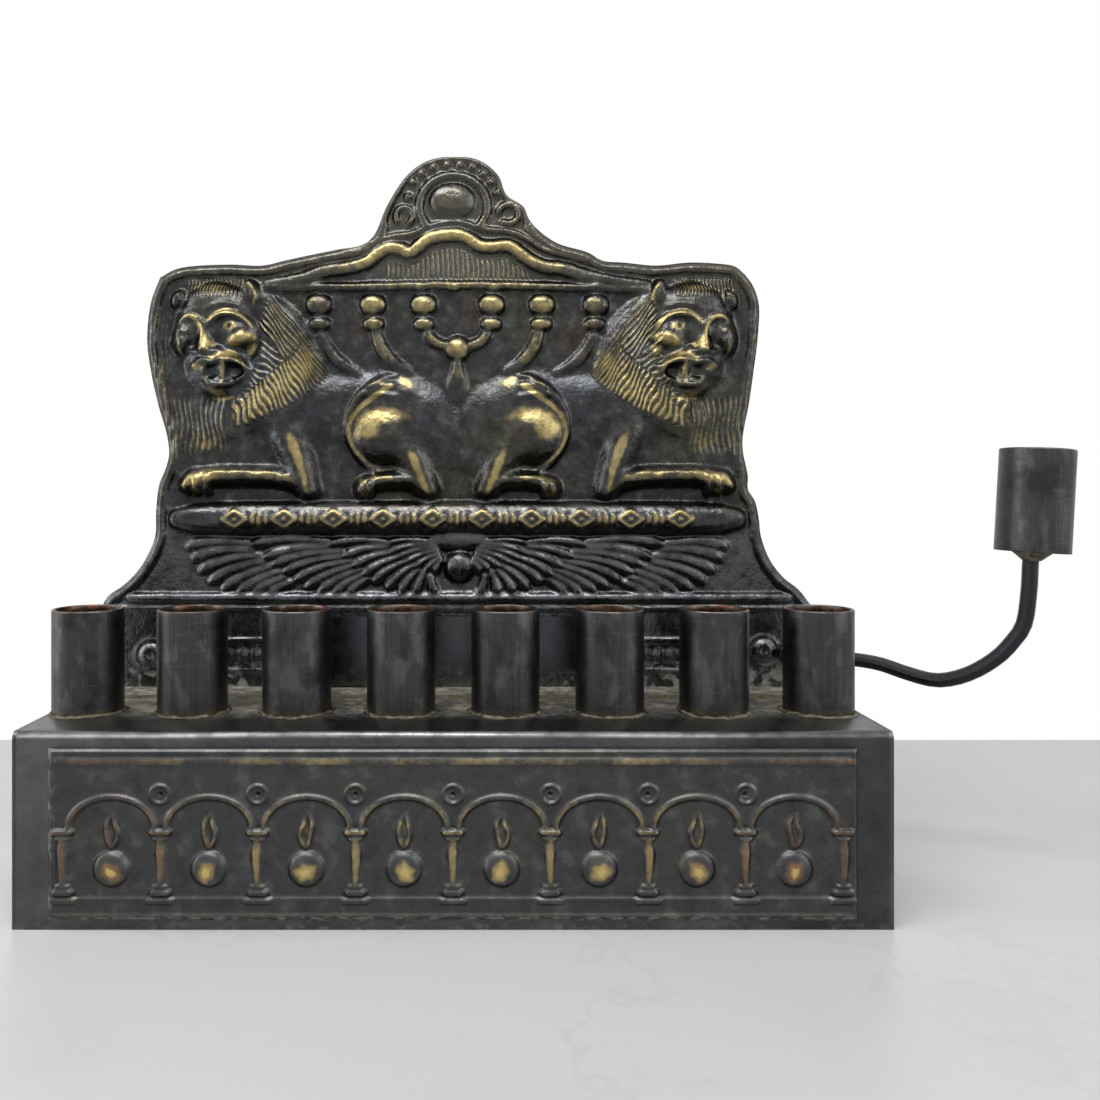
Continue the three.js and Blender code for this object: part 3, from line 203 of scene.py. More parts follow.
def along(points, t):
    k = min(max(t, 0.0), 1.0) * (len(points) - 1)
    i = min(int(k), len(points) - 2)
    return np.array(points[i]) * (1 - (k - i)) + np.array(points[i + 1]) * (k - i)


def lions(r):
    r.ridges([[[-182, 188, 26, 0.5], [-158, 196, 36, 0.74], [-128, 198, 34, 0.66], [-98, 198, 35, 0.66],
               [-66, 196, 40, 0.86], [-40, 184, 42, 0.86], [-18, 164, 34, 0.62]]], BODY, 0.7, **TWINS)
    r.domes([[-250, 200, 60, 90, 4, 0.30, 1.1]], BODY, **TWINS)
    r.soften(3.5)
    r.ridges([[[-178, 196, 17, 0.7], [-168, 172, 20, 0.98], [-158, 146, 17, 1.08], [-150, 122, 13, 1.0]]],
             BODY, 0.65, soft=0.8, **TWINS)
    r.domes([[-74, 174, 35, 31, 16, 1.3, 0.62]], BODY, soft=0.6, **TWINS)
    r.ridges([[[-56, 164, 21, 1.05], [-42, 146, 16, 1.18], [-33, 131, 12, 1.1], [-28, 119, 11, 0.95]]],
             BODY, 0.6, soft=0.8, **TWINS)
    r.soften(2.2)
    r.ridges([
        [[-148, 118, 12, 0.95], [-158, 126, 11, 0.95], [-182, 131, 9.5, 0.9], [-212, 132, 9.5, 0.9],
         [-240, 132, 10, 0.9], [-262, 127, 13, 0.95]],
        [[-28, 118, 11.5, 0.95], [-44, 127, 9, 0.95], [-66, 128, 8.5, 0.9], [-82, 126, 9, 0.9],
         [-93, 120, 11, 0.95]],
    ], BODY, 0.5, soft=0.4, **TWINS)
    r.domes([[-262, 122, 6, 9, -20, 1.02, 0.5], [-272, 123, 5.5, 8, -30, 0.95, 0.5],
             [-251, 120, 5.5, 8, 0, 0.95, 0.5], [-88, 116, 5, 8, 0, 0.98, 0.5],
             [-98, 117, 5, 8, -10, 0.95, 0.5]], BODY, soft=0.1, **TWINS)
    r.ridges([[[-200, 312, 12, 0.45], [-178, 276, 26, 0.75], [-172, 244, 36, 1.0], [-198, 214, 34, 1.0],
               [-228, 190, 24, 0.75], [-250, 176, 12, 0.4]]], BODY, 0.5, soft=0.5, **TWINS)
    r.soften(1.4)


def moved(rows, dx=4.5, dz=-3.5):
    """The same rows nearer to the middle, where the camera sees a high form from the side."""
    if isinstance(rows[0], list):
        return [moved(row, dx, dz) for row in rows]
    return [rows[0] + dx, rows[1] + dz, *rows[2:]]


def lion_heads(r):
    r.domes([
        [-240, 282, 42, 44, 0, 0.80, 0.55], [-239, 246, 34, 38, 0, 0.90, 0.6],
        [-238, 300, 36, 24, 0, 0.82, 0.6], [-216, 272, 18, 20, 0, 1.02, 0.7],
        [-273, 268, 12, 20, 0, 0.9, 0.7], [-238, 240, 29, 20, 0, 1.06, 0.6],
        [-238, 220, 20, 12, 0, 1.0, 0.6],
    ], HEAD, soft=1.2, **FACES)
    r.soften(1.8)
    r.domes([[-206, 315, 8, 14, 14, 0.86, 0.55], [-279, 308, 6, 10.5, -22, 0.72, 0.55]],
            HEAD, soft=0.3, **FACES)
    r.soften(0.7)
    r.domes([[-207, 314, 4.4, 10, 14, -1.2, 0.6], [-279.5, 308, 3, 7, -22, -0.8, 0.6]],
            FACE, add=True, **FACES)
    r.domes(moved([
        [-230, 282.5, 15, 8.5, -6, -0.9, 1.0], [-273, 282, 10.5, 7.5, 6, -0.7, 1.0],
        [-240, 268, 8, 10, 30, -0.7, 1.1], [-265, 268, 6, 9, -30, -0.5, 1.1],
        [-217, 270.5, 16, 6.5, 14, 0.5, 0.7], [-276, 264, 5, 10, -14, 0.55, 0.8],
    ]), FACE, add=True, **FACES)
    r.domes(moved([
        [-229, 283, 8, 5, -3, 1.3, 0.5], [-273, 281.5, 6.4, 4.2, 4, 1.1, 0.5],
        [-230, 252, 15, 7, -12, 0.75, 0.7], [-254, 250.5, 10, 6.5, 8, 0.65, 0.7],
    ]), FACE, add=True, **FACES)
    r.ridges(moved([
        [[-249, 284, 3, 0.4], [-244, 291, 3.6, 1.0], [-233, 295, 4.2, 1.2], [-221, 293.5, 4.2, 1.15],
         [-211, 288, 4, 1.0], [-204, 279, 4, 0.5]],
        [[-257, 285, 3, 0.4], [-262, 291, 3.8, 0.9], [-271, 293.5, 3.8, 0.95], [-280, 289, 3.6, 0.5]],
        [[-254, 299, 2, 0.3], [-246, 303, 2.4, 0.45], [-232, 306, 2.6, 0.45], [-219, 303, 2.4, 0.3]],
        [[-259, 299, 2, 0.3], [-267, 301, 2.2, 0.4], [-276, 299, 2, 0.3]],
        [[-254, 296, 4, 0.1], [-254, 286, 4, 0.6], [-254, 274, 5.5, 1.0], [-254, 264, 8.5, 1.5]],
    ]), FACE, 0.8, add=True, **FACES)
    r.soften(0.8)
    r.ridges(moved([
        [[-242, 282, 1.4, 0.4], [-230, 276.5, 1.5, 0.7], [-217, 282, 1.4, 0.5]],
        [[-242, 283, 1.4, 0.4], [-230, 288.5, 1.5, 0.7], [-217, 283, 1.4, 0.5]],
        [[-282, 281, 1.3, 0.4], [-273, 276.5, 1.4, 0.6], [-265, 280, 1.3, 0.4]],
        [[-282, 282, 1.3, 0.4], [-273, 287, 1.4, 0.6], [-265, 283, 1.3, 0.4]],
        [[-268, 261, 3.2, 0.5], [-263, 258, 3.4, 0.8], [-254, 258.5, 4.5, 0.75], [-245, 258, 3.4, 0.8],
         [-240, 261, 3.2, 0.5]],
        [[-267, 244, 3, 0.5], [-256, 248.5, 3.4, 0.8], [-246, 247.5, 3, 0.6], [-236, 249.5, 3.4, 0.85],
         [-220, 248, 3.4, 0.85], [-210, 240, 3, 0.6]],
        [[-254, 230, 2.8, 0.5], [-248, 226.5, 3.2, 0.8], [-236, 226, 3.4, 0.9], [-222, 229, 3, 0.7],
         [-214, 236, 2.8, 0.3]],
        [[-234, 247, 2.4, 0.6], [-234.5, 239, 3, 0.75], [-235, 230, 2.4, 0.6]],
        arc(-245, 237.5, 9, 8.4, 100, 260, 1.7, 0.5), arc(-224.5, 238.5, 9.6, 8.8, -80, 80, 1.8, 0.5),
    ]), FACE, 0.6, add=True, **FACES)
    r.domes(moved([
        [-245, 237.5, 7.6, 7, 0, -0.8, 0.6], [-224.5, 238.5, 8, 7.2, 0, -0.9, 0.6],
        [-229, 283.5, 2.3, 2.3, 0, -0.5], [-273, 282, 1.9, 1.9, 0, -0.45], [-244, 231.5, 7.5, 2.2, 0, 0.7],
        [-222.5, 232, 6, 2, 15, 0.6], [-261, 262, 2, 1.6, 0, -0.7], [-247, 262, 2, 1.6, 0, -0.7],
    ]), FACE, add=True, **FACES)


def paws(r):
    r.domes([
        [-248, 124, 5.6, 12, 4, 0.5, 0.6], [-259, 124, 5.4, 12, 0, 0.5, 0.6],
        [-269, 122, 5, 10, -8, 0.45, 0.6], [-86, 118, 5, 10, 4, 0.5, 0.6], [-96, 118, 5, 9, -4, 0.45, 0.6],
        [-236, 136, 10, 4.5, 0, 0.3], [-213, 137.5, 13, 4, 0, 0.3], [-186, 136.5, 10, 4, 0, 0.35],
        [-168, 131, 9, 6, 20, 0.4], [-70, 131, 9, 4, 0, 0.35], [-48, 128, 8, 5, 0, 0.4],
    ], FACE, **CUTS)
    r.domes([
        [-253.6, 120, 1.9, 11, 2, -0.9, 0.8], [-264.3, 120, 1.9, 10, -4, -0.9, 0.8],
        [-91, 116, 1.9, 9, 0, -0.9, 0.8], [-80.5, 116, 1.9, 8, 6, -0.6, 0.8],
        [-242.5, 119, 1.9, 9, 6, -0.7, 0.8],
    ], FACE, **CUTS)
    r.ridges([
        [[-212, 129, 2.2, -0.45], [-190, 127, 2.4, -0.5], [-170, 123, 2.2, -0.4]],
        [[-152, 158, 3, -0.5], [-148, 142, 3, -0.5], [-143, 128, 2.4, -0.3]],
    ], FACE, 0.9, **CUTS)


def gilding(r):
    """Where lions and canopy are rubbed to the bare metal."""
    rub = dict(rise=1.0, power=1.3, soft=0.05)
    heads, pairs = dict(rub, **FACES), dict(rub, **TWINS)
    r.ridges([[[-203, 303, 2, 0.6], [-200, 310, 2.2, 1.0], [-203, 318, 2, 0.7], [-206.5, 323, 1.8, 0.6]]],
             **heads)
    r.ridges(moved([
        [[-252, 287, 2.2, 0.7], [-244, 294, 2.8, 1.2], [-234, 298, 3.0, 1.3], [-222, 296, 3.0, 1.2],
         [-213, 290, 2.6, 1.1], [-207, 281, 2.2, 0.5]],
        [[-281, 289, 2, 0.4], [-275, 294, 2.6, 1.0], [-267, 293.5, 2.8, 1.1], [-261, 289, 2.6, 1.0],
         [-257, 282, 3.0, 0.9], [-254.5, 272, 4.5, 1.1], [-253.5, 265.5, 8.5, 1.5]],
        [[-247, 251, 3.0, 0.7], [-240, 254.5, 3.8, 1.2], [-231, 256, 4.4, 1.3], [-222, 251.5, 3.8, 1.0],
         [-214, 243, 2.4, 0.6]],
        [[-234, 247, 2.4, 0.7], [-234.5, 238, 2.6, 0.9], [-236, 229, 2.6, 0.7]],
        [[-250, 213.5, 1.8, 0.5], [-238, 211.5, 2.2, 1.0], [-226, 213.5, 1.8, 0.8]],
        [[-279, 266, 2, 0.4], [-279.5, 259, 2.4, 0.7], [-275, 251.5, 2, 0.4]],
    ]), **heads)
    r.domes(moved([
        [-217, 270.5, 19, 8, 14, 1.3], [-209, 262, 8, 7, 60, 0.9], [-253.5, 265, 13, 7, 0, 1.6],
        [-240, 217, 10, 5, 0, 0.8], [-262, 243, 8, 5, 0, 0.7], [-229, 283.5, 9, 6, 0, 1.2],
        [-273, 282, 5.5, 3.8, 0, 0.5], [-231.5, 255, 14, 6, 0, 1.2],
    ]), **heads)
    r.domes([[-246, 320, 22, 5, 0, 0.5], [-250, 166, 22, 14, 0, 0.35]], **heads)
    r.ridges([[[-226, 188, 15, 0.2], [-200, 203, 17, 0.35], [-174, 221, 19, 0.4], [-152, 238, 19, 0.4],
               [-142, 256, 14, 0.2]]], **heads)
    r.ridges([
        [[-62, 133, 2.2, 0.3], [-86, 143, 2.4, 0.6], [-102, 158, 2.6, 1.0], [-108, 174, 2.8, 1.2],
         [-104, 190, 3.0, 1.2], [-94, 202, 3.4, 1.2], [-80, 212, 4.2, 1.2], [-66, 222, 4.0, 0.9]],
        [[-270, 128, 9, 0.7], [-244, 134, 9, 0.55], [-216, 136, 8, 0.22], [-190, 135, 8, 0.45],
         [-166, 130, 8, 0.35]],
        [[-168, 176, 4, 0.2], [-163, 164, 6.5, 1.2], [-157, 148, 6.0, 1.1], [-152, 130, 4, 0.7],
         [-150, 118, 4, 0.5]],
        [[-96, 127, 4, 0.8], [-82, 131, 3.4, 0.6], [-64, 130, 3.0, 0.5]],
        [[-47, 158, 4, 0.4], [-42, 146, 6, 1.1], [-36, 130, 5, 0.9], [-30, 116, 4, 0.6]],
    ], **pairs)
    r.ridges([[[-101, 170, 8, 0.4], [-95, 183, 12, 0.9], [-82, 190, 13, 1.1], [-66, 193, 11, 0.9],
               [-50, 190, 8, 0.4]]], **pairs)
    r.domes([[-88, 178, 16, 13, 30, 1.0], [-52, 226, 13, 7, -30, 0.8], [-92, 113, 7, 7, 0, 0.7],
             [-261, 117, 9, 7, 0, 0.6]], **pairs)
    r.domes(moved([[-229, 283.5, 2.6, 2.6, 0, -1.6, 0.6], [-273, 282, 2, 2, 0, -1.0, 0.6],
                   [-246.5, 260, 3, 2.2, 0, -1.2], [-260.5, 260, 2.6, 2, 0, -1.0]]), 1.0, add=True, **FACES)
    r.ridges([[
        [-100, 343, 6, 0.3], [-84, 352, 7, 0.8], [-68, 361, 7, 0.9], [-48, 356, 6, 0.5], [-29, 370, 8, 1.0],
        [0, 374, 8, 1.0], [22, 363, 7, 0.7], [51, 363, 7, 0.8], [73, 348, 6, 0.4], [100, 341, 5, 0.2],
    ]], 0.5, 1.3, soft=0.05)


def tails(r):
    r.ridges([
        [[-64, 222, 4, 0.4], [-76, 222, 6, 0.85], [-92, 216, 5, 0.95], [-103, 203, 3.8, 0.95],
         [-109, 186, 3.4, 0.95], [-109, 172, 3.4, 0.95], [-104, 158, 3.4, 0.95], [-95, 146, 3.4, 0.9],
         [-84, 137, 3, 0.6]],
        [[-60, 233, 2.5, 0.4], [-74, 230, 3, 0.8], [-88, 222, 3.5, 0.6]],
        [[-62, 211, 2.5, 0.4], [-76, 213, 3, 0.8], [-90, 212, 3.5, 0.6]],
    ], FACE, 0.55, **CUTS)
    r.soften(0.8)


def branches(r):
    r.domes([[x, 303, 14.5, 12, 0, 1, 0.5] for x in (-138.5, -84.5, -34)]
            + [[x, 284, 12, 8, 0, 0.85, 0.5] for x in (-137.5, -84, -33.5)], LAMPS, mirror=True, soft=0.2)
    r.ridges([
        [[-136, 272, 6, 0.5], [-131, 262, 6.5, 0.55], [-118, 246, 7, 0.55], [-98, 234, 5, 0.3]],
        [[-80.5, 273, 7, 0.6], [-77, 262, 7.5, 0.7], [-66, 247, 7.5, 0.65], [-50, 236, 6, 0.3]],
        [[-29, 273, 6, 0.6], [-23, 266, 6.5, 0.65], [-10, 261, 6, 0.6]],
    ], LAMPS, 0.6, mirror=True, soft=0.3)
    r.ridges([[[0, 250, 4.5, 0.6], [0, 238, 7, 0.7], [0, 224, 12, 0.6], [0, 212, 15, 0.3]]],
             LAMPS, 0.7, soft=0.3)
    r.domes([[0, 259, 13.5, 13.5, 0, 1.05, 0.5]], LAMPS, soft=0.2)


def filled(rows, width, share):
    """Rows of a ridge, where a row without width and share takes the line's own."""
    return [[*row, width, share][:4] for row in rows]


def canopy(r):
    r.ridges([filled([
        [-190, 323, 6.5, 0.5], [-154, 329, 7.8, 0.8], [-132, 337], [-110, 340], [-90, 346], [-80, 354],
        [-68, 360], [-57, 359], [-48, 355, 7.2, 0.95], [-39, 361], [-29, 369], [-15, 372.5, 8.5, 1],
        [0, 373, 8.5, 1], [12, 369], [22, 362], [34, 361], [51, 362], [62, 355], [73, 347], [88, 341],
        [107, 339], [122, 334, 7.8, 0.9], [150, 328, 7.2, 0.8], [190, 322, 6.5, 0.5],
    ], 7.8, 1)], CANOPY, 0.55, soft=0.3)
    r.ridges([filled([
        [-190, 338, 3, 0.5], [-150, 346, 3, 0.6], [-119, 354, 3, 0.6], [-87, 365], [-63, 372], [-47, 374],
        [-29, 381], [-15, 385], [6, 385], [25, 379], [54, 376], [70, 369], [86, 359, 3, 0.7],
        [121, 349, 3, 0.6], [160, 340, 3, 0.5],
    ], 3.2, 0.7)], CANOPY, 0.55, soft=0.2)
    r.ridges([[[-190, 320, 5, 0.7], [-100, 321, 5, 0.8], [0, 323, 5, 0.85], [100, 321, 5, 0.8],
               [190, 318, 5, 0.7]]], CANOPY, 0.5, soft=0.3)
    r.domes([[x, 321, 11, 5.5, 0, 0.95, 0.6] for x in (-139, -87, -36, -4, 36, 87, 139)], CANOPY, soft=0.6)


def crest(r):
    r.domes([[-5, 407, 23.5, 19, 0, 1, 0.55], [-73, 382, 5, 5, 0, 0.5, 0.5], [73, 382, 6, 6, 0, 0.5, 0.5]],
            CREST, soft=0.2)
    r.ridges([arc(-4, 402, 34, 31, -38, 218, 4.6, 0.55)], CREST, 0.55, soft=0.2)
    beads = [(-49.5, 411), (-44.5, 426), (-36, 434.5), (-24.5, 440.5), (-11, 443), (2, 443), (14, 441),
             (26, 434), (33.5, 426), (39.5, 415)]
    r.domes([[x, z, 4.4, 4.2, 0, 0.6, 0.5] for x, z in beads], CREST, soft=0.1)
    r.ridges([arc(-53, 392, 8.5, 8.5, -60, 215, 3.2, 0.55), arc(51, 394, 10, 9.5, -120, 165, 3.6, 0.6)],
             CREST, 0.55, soft=0.2)


# Roots and tips of the rows of feathers, their number, half widths at both ends and height
WINGS = [
    ([[-212, 68], [-203, 55], [-190, 44], [-176, 33], [-165, 22]],
     [[-270, 68], [-264, 52], [-254, 36], [-240, 22], [-220, 16], [-199, 15.5], [-178, 15.5]],
     8, 5, 8.2, 0.8),
    ([[-132, 69], [-113, 54], [-98, 41], [-88, 27]],
     [[-212, 70], [-192, 51], [-178, 40], [-160, 29], [-144, 18], [-122, 15.5], [-100, 15.5]],
     9, 4.5, 7.5, 1.0),
    ([[-74, 69], [-60, 54], [-42, 40], [-24, 30]],
     [[-133, 70], [-113, 52], [-97, 38], [-82, 27], [-63, 17], [-40, 15.5], [-14, 16]], 9, 4.2, 7, 1.25),
    ([[-30, 69], [-20, 58], [-15, 46]],
     [[-72, 70], [-66, 57], [-58, 49], [-44, 43], [-30, 38], [-18, 36]], 7, 3, 5, 1.5),
]


def wings(r):
    for roots, tips, count, root_half, tip_half, share in WINGS:
        for i in range(count):
            a, b = along(roots, (i + 0.5) / count), along(tips, (i + 0.5) / count)
            run = b - a
            side = np.array([run[1], -run[0]]) * 0.05
            mid, near = a + run * 0.5 + side, a + run * 0.86 + side * 0.5
            r.ridges([[[*a, root_half, share], [*mid, (root_half + tip_half) / 2, share + 0.15],
                       [*near, tip_half, share + 0.25], [*b, tip_half * 0.6, share + 0.1]]],
                     WING, 0.8, mirror=True, soft=0.05)
    r.soften(0.4)


def rails(r):
    r.ridges([[[-278, 89, 11, 0.75], [-262, 89, 15, 0.95], [-230, 89.5, 16.5, 1], [0, 90, 17, 1],
               [230, 89.5, 16.5, 1], [262, 89, 15, 0.95], [278, 89, 11, 0.75]]], ROLL, 0.5, soft=0.2)
    r.domes([[2, 68, 34, 12, 0, 0.62, 0.6], [2, 42, 15, 16, 0, 1, 0.5]], ROLL, soft=0.2)
    r.ridges([[[-327, 10, 5.5, 1], [-300, 10, 6, 1], [330, 10, 6, 1]]], RAIL, 0.5, soft=0.2)
    r.ridges([[[-345, 0, 2.5, 0.5], [345, 0, 2.5, 0.5]]], RAIL, 0.6)
    lines = [(-238, -32, 238, -32, 0.5), (-238, -62, 238, -62, 0.5), (-238, -32, -238, -62, 0.5),
             (238, -32, 238, -62, 0.5), (-232, -37, 232, -37, 0.25), (-232, -57, 232, -57, 0.25)]
    r.ridges([line(x0, z0, x1, z1, 1.9, share) for x0, z0, x1, z1, share in lines], RAIL, 0.55)
    r.domes([[x, -47, 4.6, 8.5, 0, 0.45, 0.5] for x in range(164, 230, 13)], RAIL, **TWINS)
    r.domes([[x, -47, 1.8, 5, 0, 0.35, 0.5] for x in range(171, 224, 13)], RAIL, **TWINS)
    for x, z in ((-307, -47), (306, -43)):
        r.domes([[x, z, 12, 12, 0, 0.9, 0.5]], RAIL, soft=0.2)
        r.ridges([arc(x, z, 15, 15, 0, 360, 2, 0.3, 24)], RAIL)
        r.domes([[x, z, 5, 5, 0, -0.4, 0.8]], RAIL, add=True)
    r.soften(0.6)


def roll_marks(r):
    """A plain row of lozenges and short bars on the roll."""
    middle, pitch = 89, 49
    for i in range(10):
        x = (i - 4.5) * pitch
        corners = [(x - 12, middle), (x, middle + 8.5), (x + 12, middle), (x, middle - 8.5)]
        sides = zip(corners, corners[1:] + corners[:1])
        r.ridges([line(*a, *b, 2.5) for a, b in sides], MARKS, 0.5, soft=0.1)
        r.domes([[x, middle, 3.4, 3, 0, 1, 0.5]], MARKS, soft=0.1)
    for i in range(9):
        x = (i - 4) * pitch
        r.domes([[x + dx, middle, 3.0, tall, 0, 1, 0.4] for dx, tall in ((-6.5, 7.0), (0, 9.0), (6.5, 7.0))],
                MARKS, soft=0.1)


# The plate's outline, from the foot up and over the top
LEFT_EDGE = [
    [-355, -82], [-355, -40], [-356, 0], [-350, 12], [-337, 21], [-323, 34], [-312, 50], [-303, 72],
    [-302, 97], [-299, 123], [-292, 141], [-289, 154], [-291, 172], [-300, 204], [-307, 236],
    [-311, 268], [-307, 307], [-298, 331],
]
TOP_EDGE = [
    [-298, 331], [-280, 340], [-230, 344], [-195, 343], [-173, 348], [-145, 354], [-120, 359],
    [-95, 364], [-84, 373], [-70, 404], [-50, 434], [-30, 448], [-1, 452.5], [23, 448], [41, 433],
    [49, 414], [66, 402], [72, 389], [84, 376], [101, 365], [131, 356], [145, 348], [167, 346],
    [199, 343], [231, 346], [260, 345], [278, 342], [288, 334],
]
RIGHT_EDGE = [
    [355, -82], [355, -40], [355, 0], [350, 8], [341, 19], [327, 30], [313, 48], [304, 72],
    [302, 89], [298, 107], [291, 119], [291, 132], [286, 157], [286, 172], [292, 204], [297, 239],
    [301, 272], [302, 304], [296, 323], [288, 334],
]


def even(edge, count):
    """Points at even steps along an edge."""
    pts = course([[x, z, 1, 1] for x, z in edge], 8)[:, :2]
    run = np.concatenate([[0], np.cumsum(np.hypot(*np.diff(pts, axis=0).T))])
    want = np.linspace(0, run[-1], count)
    return np.column_stack([np.interp(want, run, pts[:, 0]), np.interp(want, run, pts[:, 1])])


def edge_grid(across, up):
    """Points of the patch that the plate's four edges span, row by row from the bottom."""
    left, right, top = even(LEFT_EDGE, up + 1), even(RIGHT_EDGE, up + 1), even(TOP_EDGE, across + 1)
    u, v = np.meshgrid(np.linspace(0, 1, across + 1), np.linspace(0, 1, up + 1))
    u, v = u[..., None], v[..., None]
    bottom = left[0] * (1 - u) + right[0] * u
    flat = left[:, None] * (1 - u) + right[:, None] * u + bottom * (1 - v) + top[None] * v
    return flat - ((left[0] * (1 - u) + right[0] * u) * (1 - v) + (left[-1] * (1 - u) + right[-1] * u) * v)


def edge_distance(x, z):
    outline = np.vstack([even(LEFT_EDGE, 90), even(TOP_EDGE, 160), even(RIGHT_EDGE, 90)[::-1]])
    best = np.full(x.shape, 1e9)
    for a, b in zip(outline[:-1], outline[1:]):
        run = b - a
        span = run @ run
        if span < 1e-9:
            continue
        t = np.clip(((x - a[0]) * run[0] + (z - a[1]) * run[1]) / span, 0, 1)
        best = np.minimum(best, np.hypot(x - a[0] - t * run[0], z - a[1] - t * run[1]))
    return best


def strokes(x, z, roots, tips, count):
    """Phase across a family of strokes, how far along one a point is, and how near it lies to them."""
    best, phase, run_at = np.full(x.shape, 1e9), np.zeros(x.shape), np.zeros(x.shape)
    for k in range(241):
        t = k / 240
        a, b = along(roots, t), along(tips, t)
        run = b - a
        s = ((x - a[0]) * run[0] + (z - a[1]) * run[1]) / (run @ run)
        c = np.clip(s, 0, 1)
        away = np.hypot(x - a[0] - c * run[0], z - a[1] - c * run[1])
        nearer = away < best
        best = np.where(nearer, away, best)
        phase = np.where(nearer, t * count, phase)
        run_at = np.where(nearer, s, run_at)
    return phase, run_at, best


def smooth(a, b, x):
    t = np.clip((x - a) / (b - a), 0, 1)
    return t * t * (3 - 2 * t)


# Making pieces
def mesh_piece(name, points, faces, material, stands_for=(), attributes=None, smooth_faces=True):
    """A piece from points in millimetres. Attributes are given for its first points, and the rest get 0."""
    mesh = bpy.data.meshes.new(name)
    mesh.from_pydata((np.asarray(points) * MM).tolist(), [], [list(map(int, f)) for f in faces])
    for key, values in (attributes or {}).items():
        layer = mesh.attributes.new(key, "FLOAT", "POINT")
        padded = np.concatenate([values, np.zeros(len(points) - len(values))])
        layer.data.foreach_set("value", padded.astype(np.float32))
    if smooth_faces:
        mesh.shade_smooth()
    else:
        mesh.shade_flat()
    obj = bpy.data.objects.new(name, mesh)
    bpy.context.scene.collection.objects.link(obj)
    mesh.materials.append(material)
    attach(obj, "root")
    if stands_for:
        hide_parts(*stands_for)
    return obj


def grid_faces(across, up, start=0, flip=False):
    i, j = np.meshgrid(np.arange(across), np.arange(up))
    a = (start + j * (across + 1) + i).ravel()
    quad = np.column_stack([a, a + 1, a + across + 2, a + across + 1])
    return quad[:, ::-1] if flip else quad


def rim_loop(across, up):
    """The points round the edge of a grid, in order."""
    row = across + 1
    low = list(range(across))
    right = [j * row + across for j in range(up)]
    top = [up * row + i for i in range(across, 0, -1)]
    left = [j * row for j in range(up, 0, -1)]
    return low + right + top + left


def sheet_mesh(front, across, up, back_y, back=None, back_across=0, back_up=0):
    """A relief front with a wall round its edge, and a back where one is given."""
    loop = np.array(rim_loop(across, up))
    wall = front[loop].copy()
    wall[:, 1] = back_y
    start, n = len(front), len(loop)
    this, following = np.arange(n), (np.arange(n) + 1) % n
    sides = np.column_stack([loop[following], loop, start + this, start + following])
    points, faces = [front, wall], [grid_faces(across, up), sides]
    if back is not None:
        points.append(back)
        faces.append(grid_faces(back_across, back_up, start + n, flip=True))
    return np.vstack(points), np.vstack(faces)


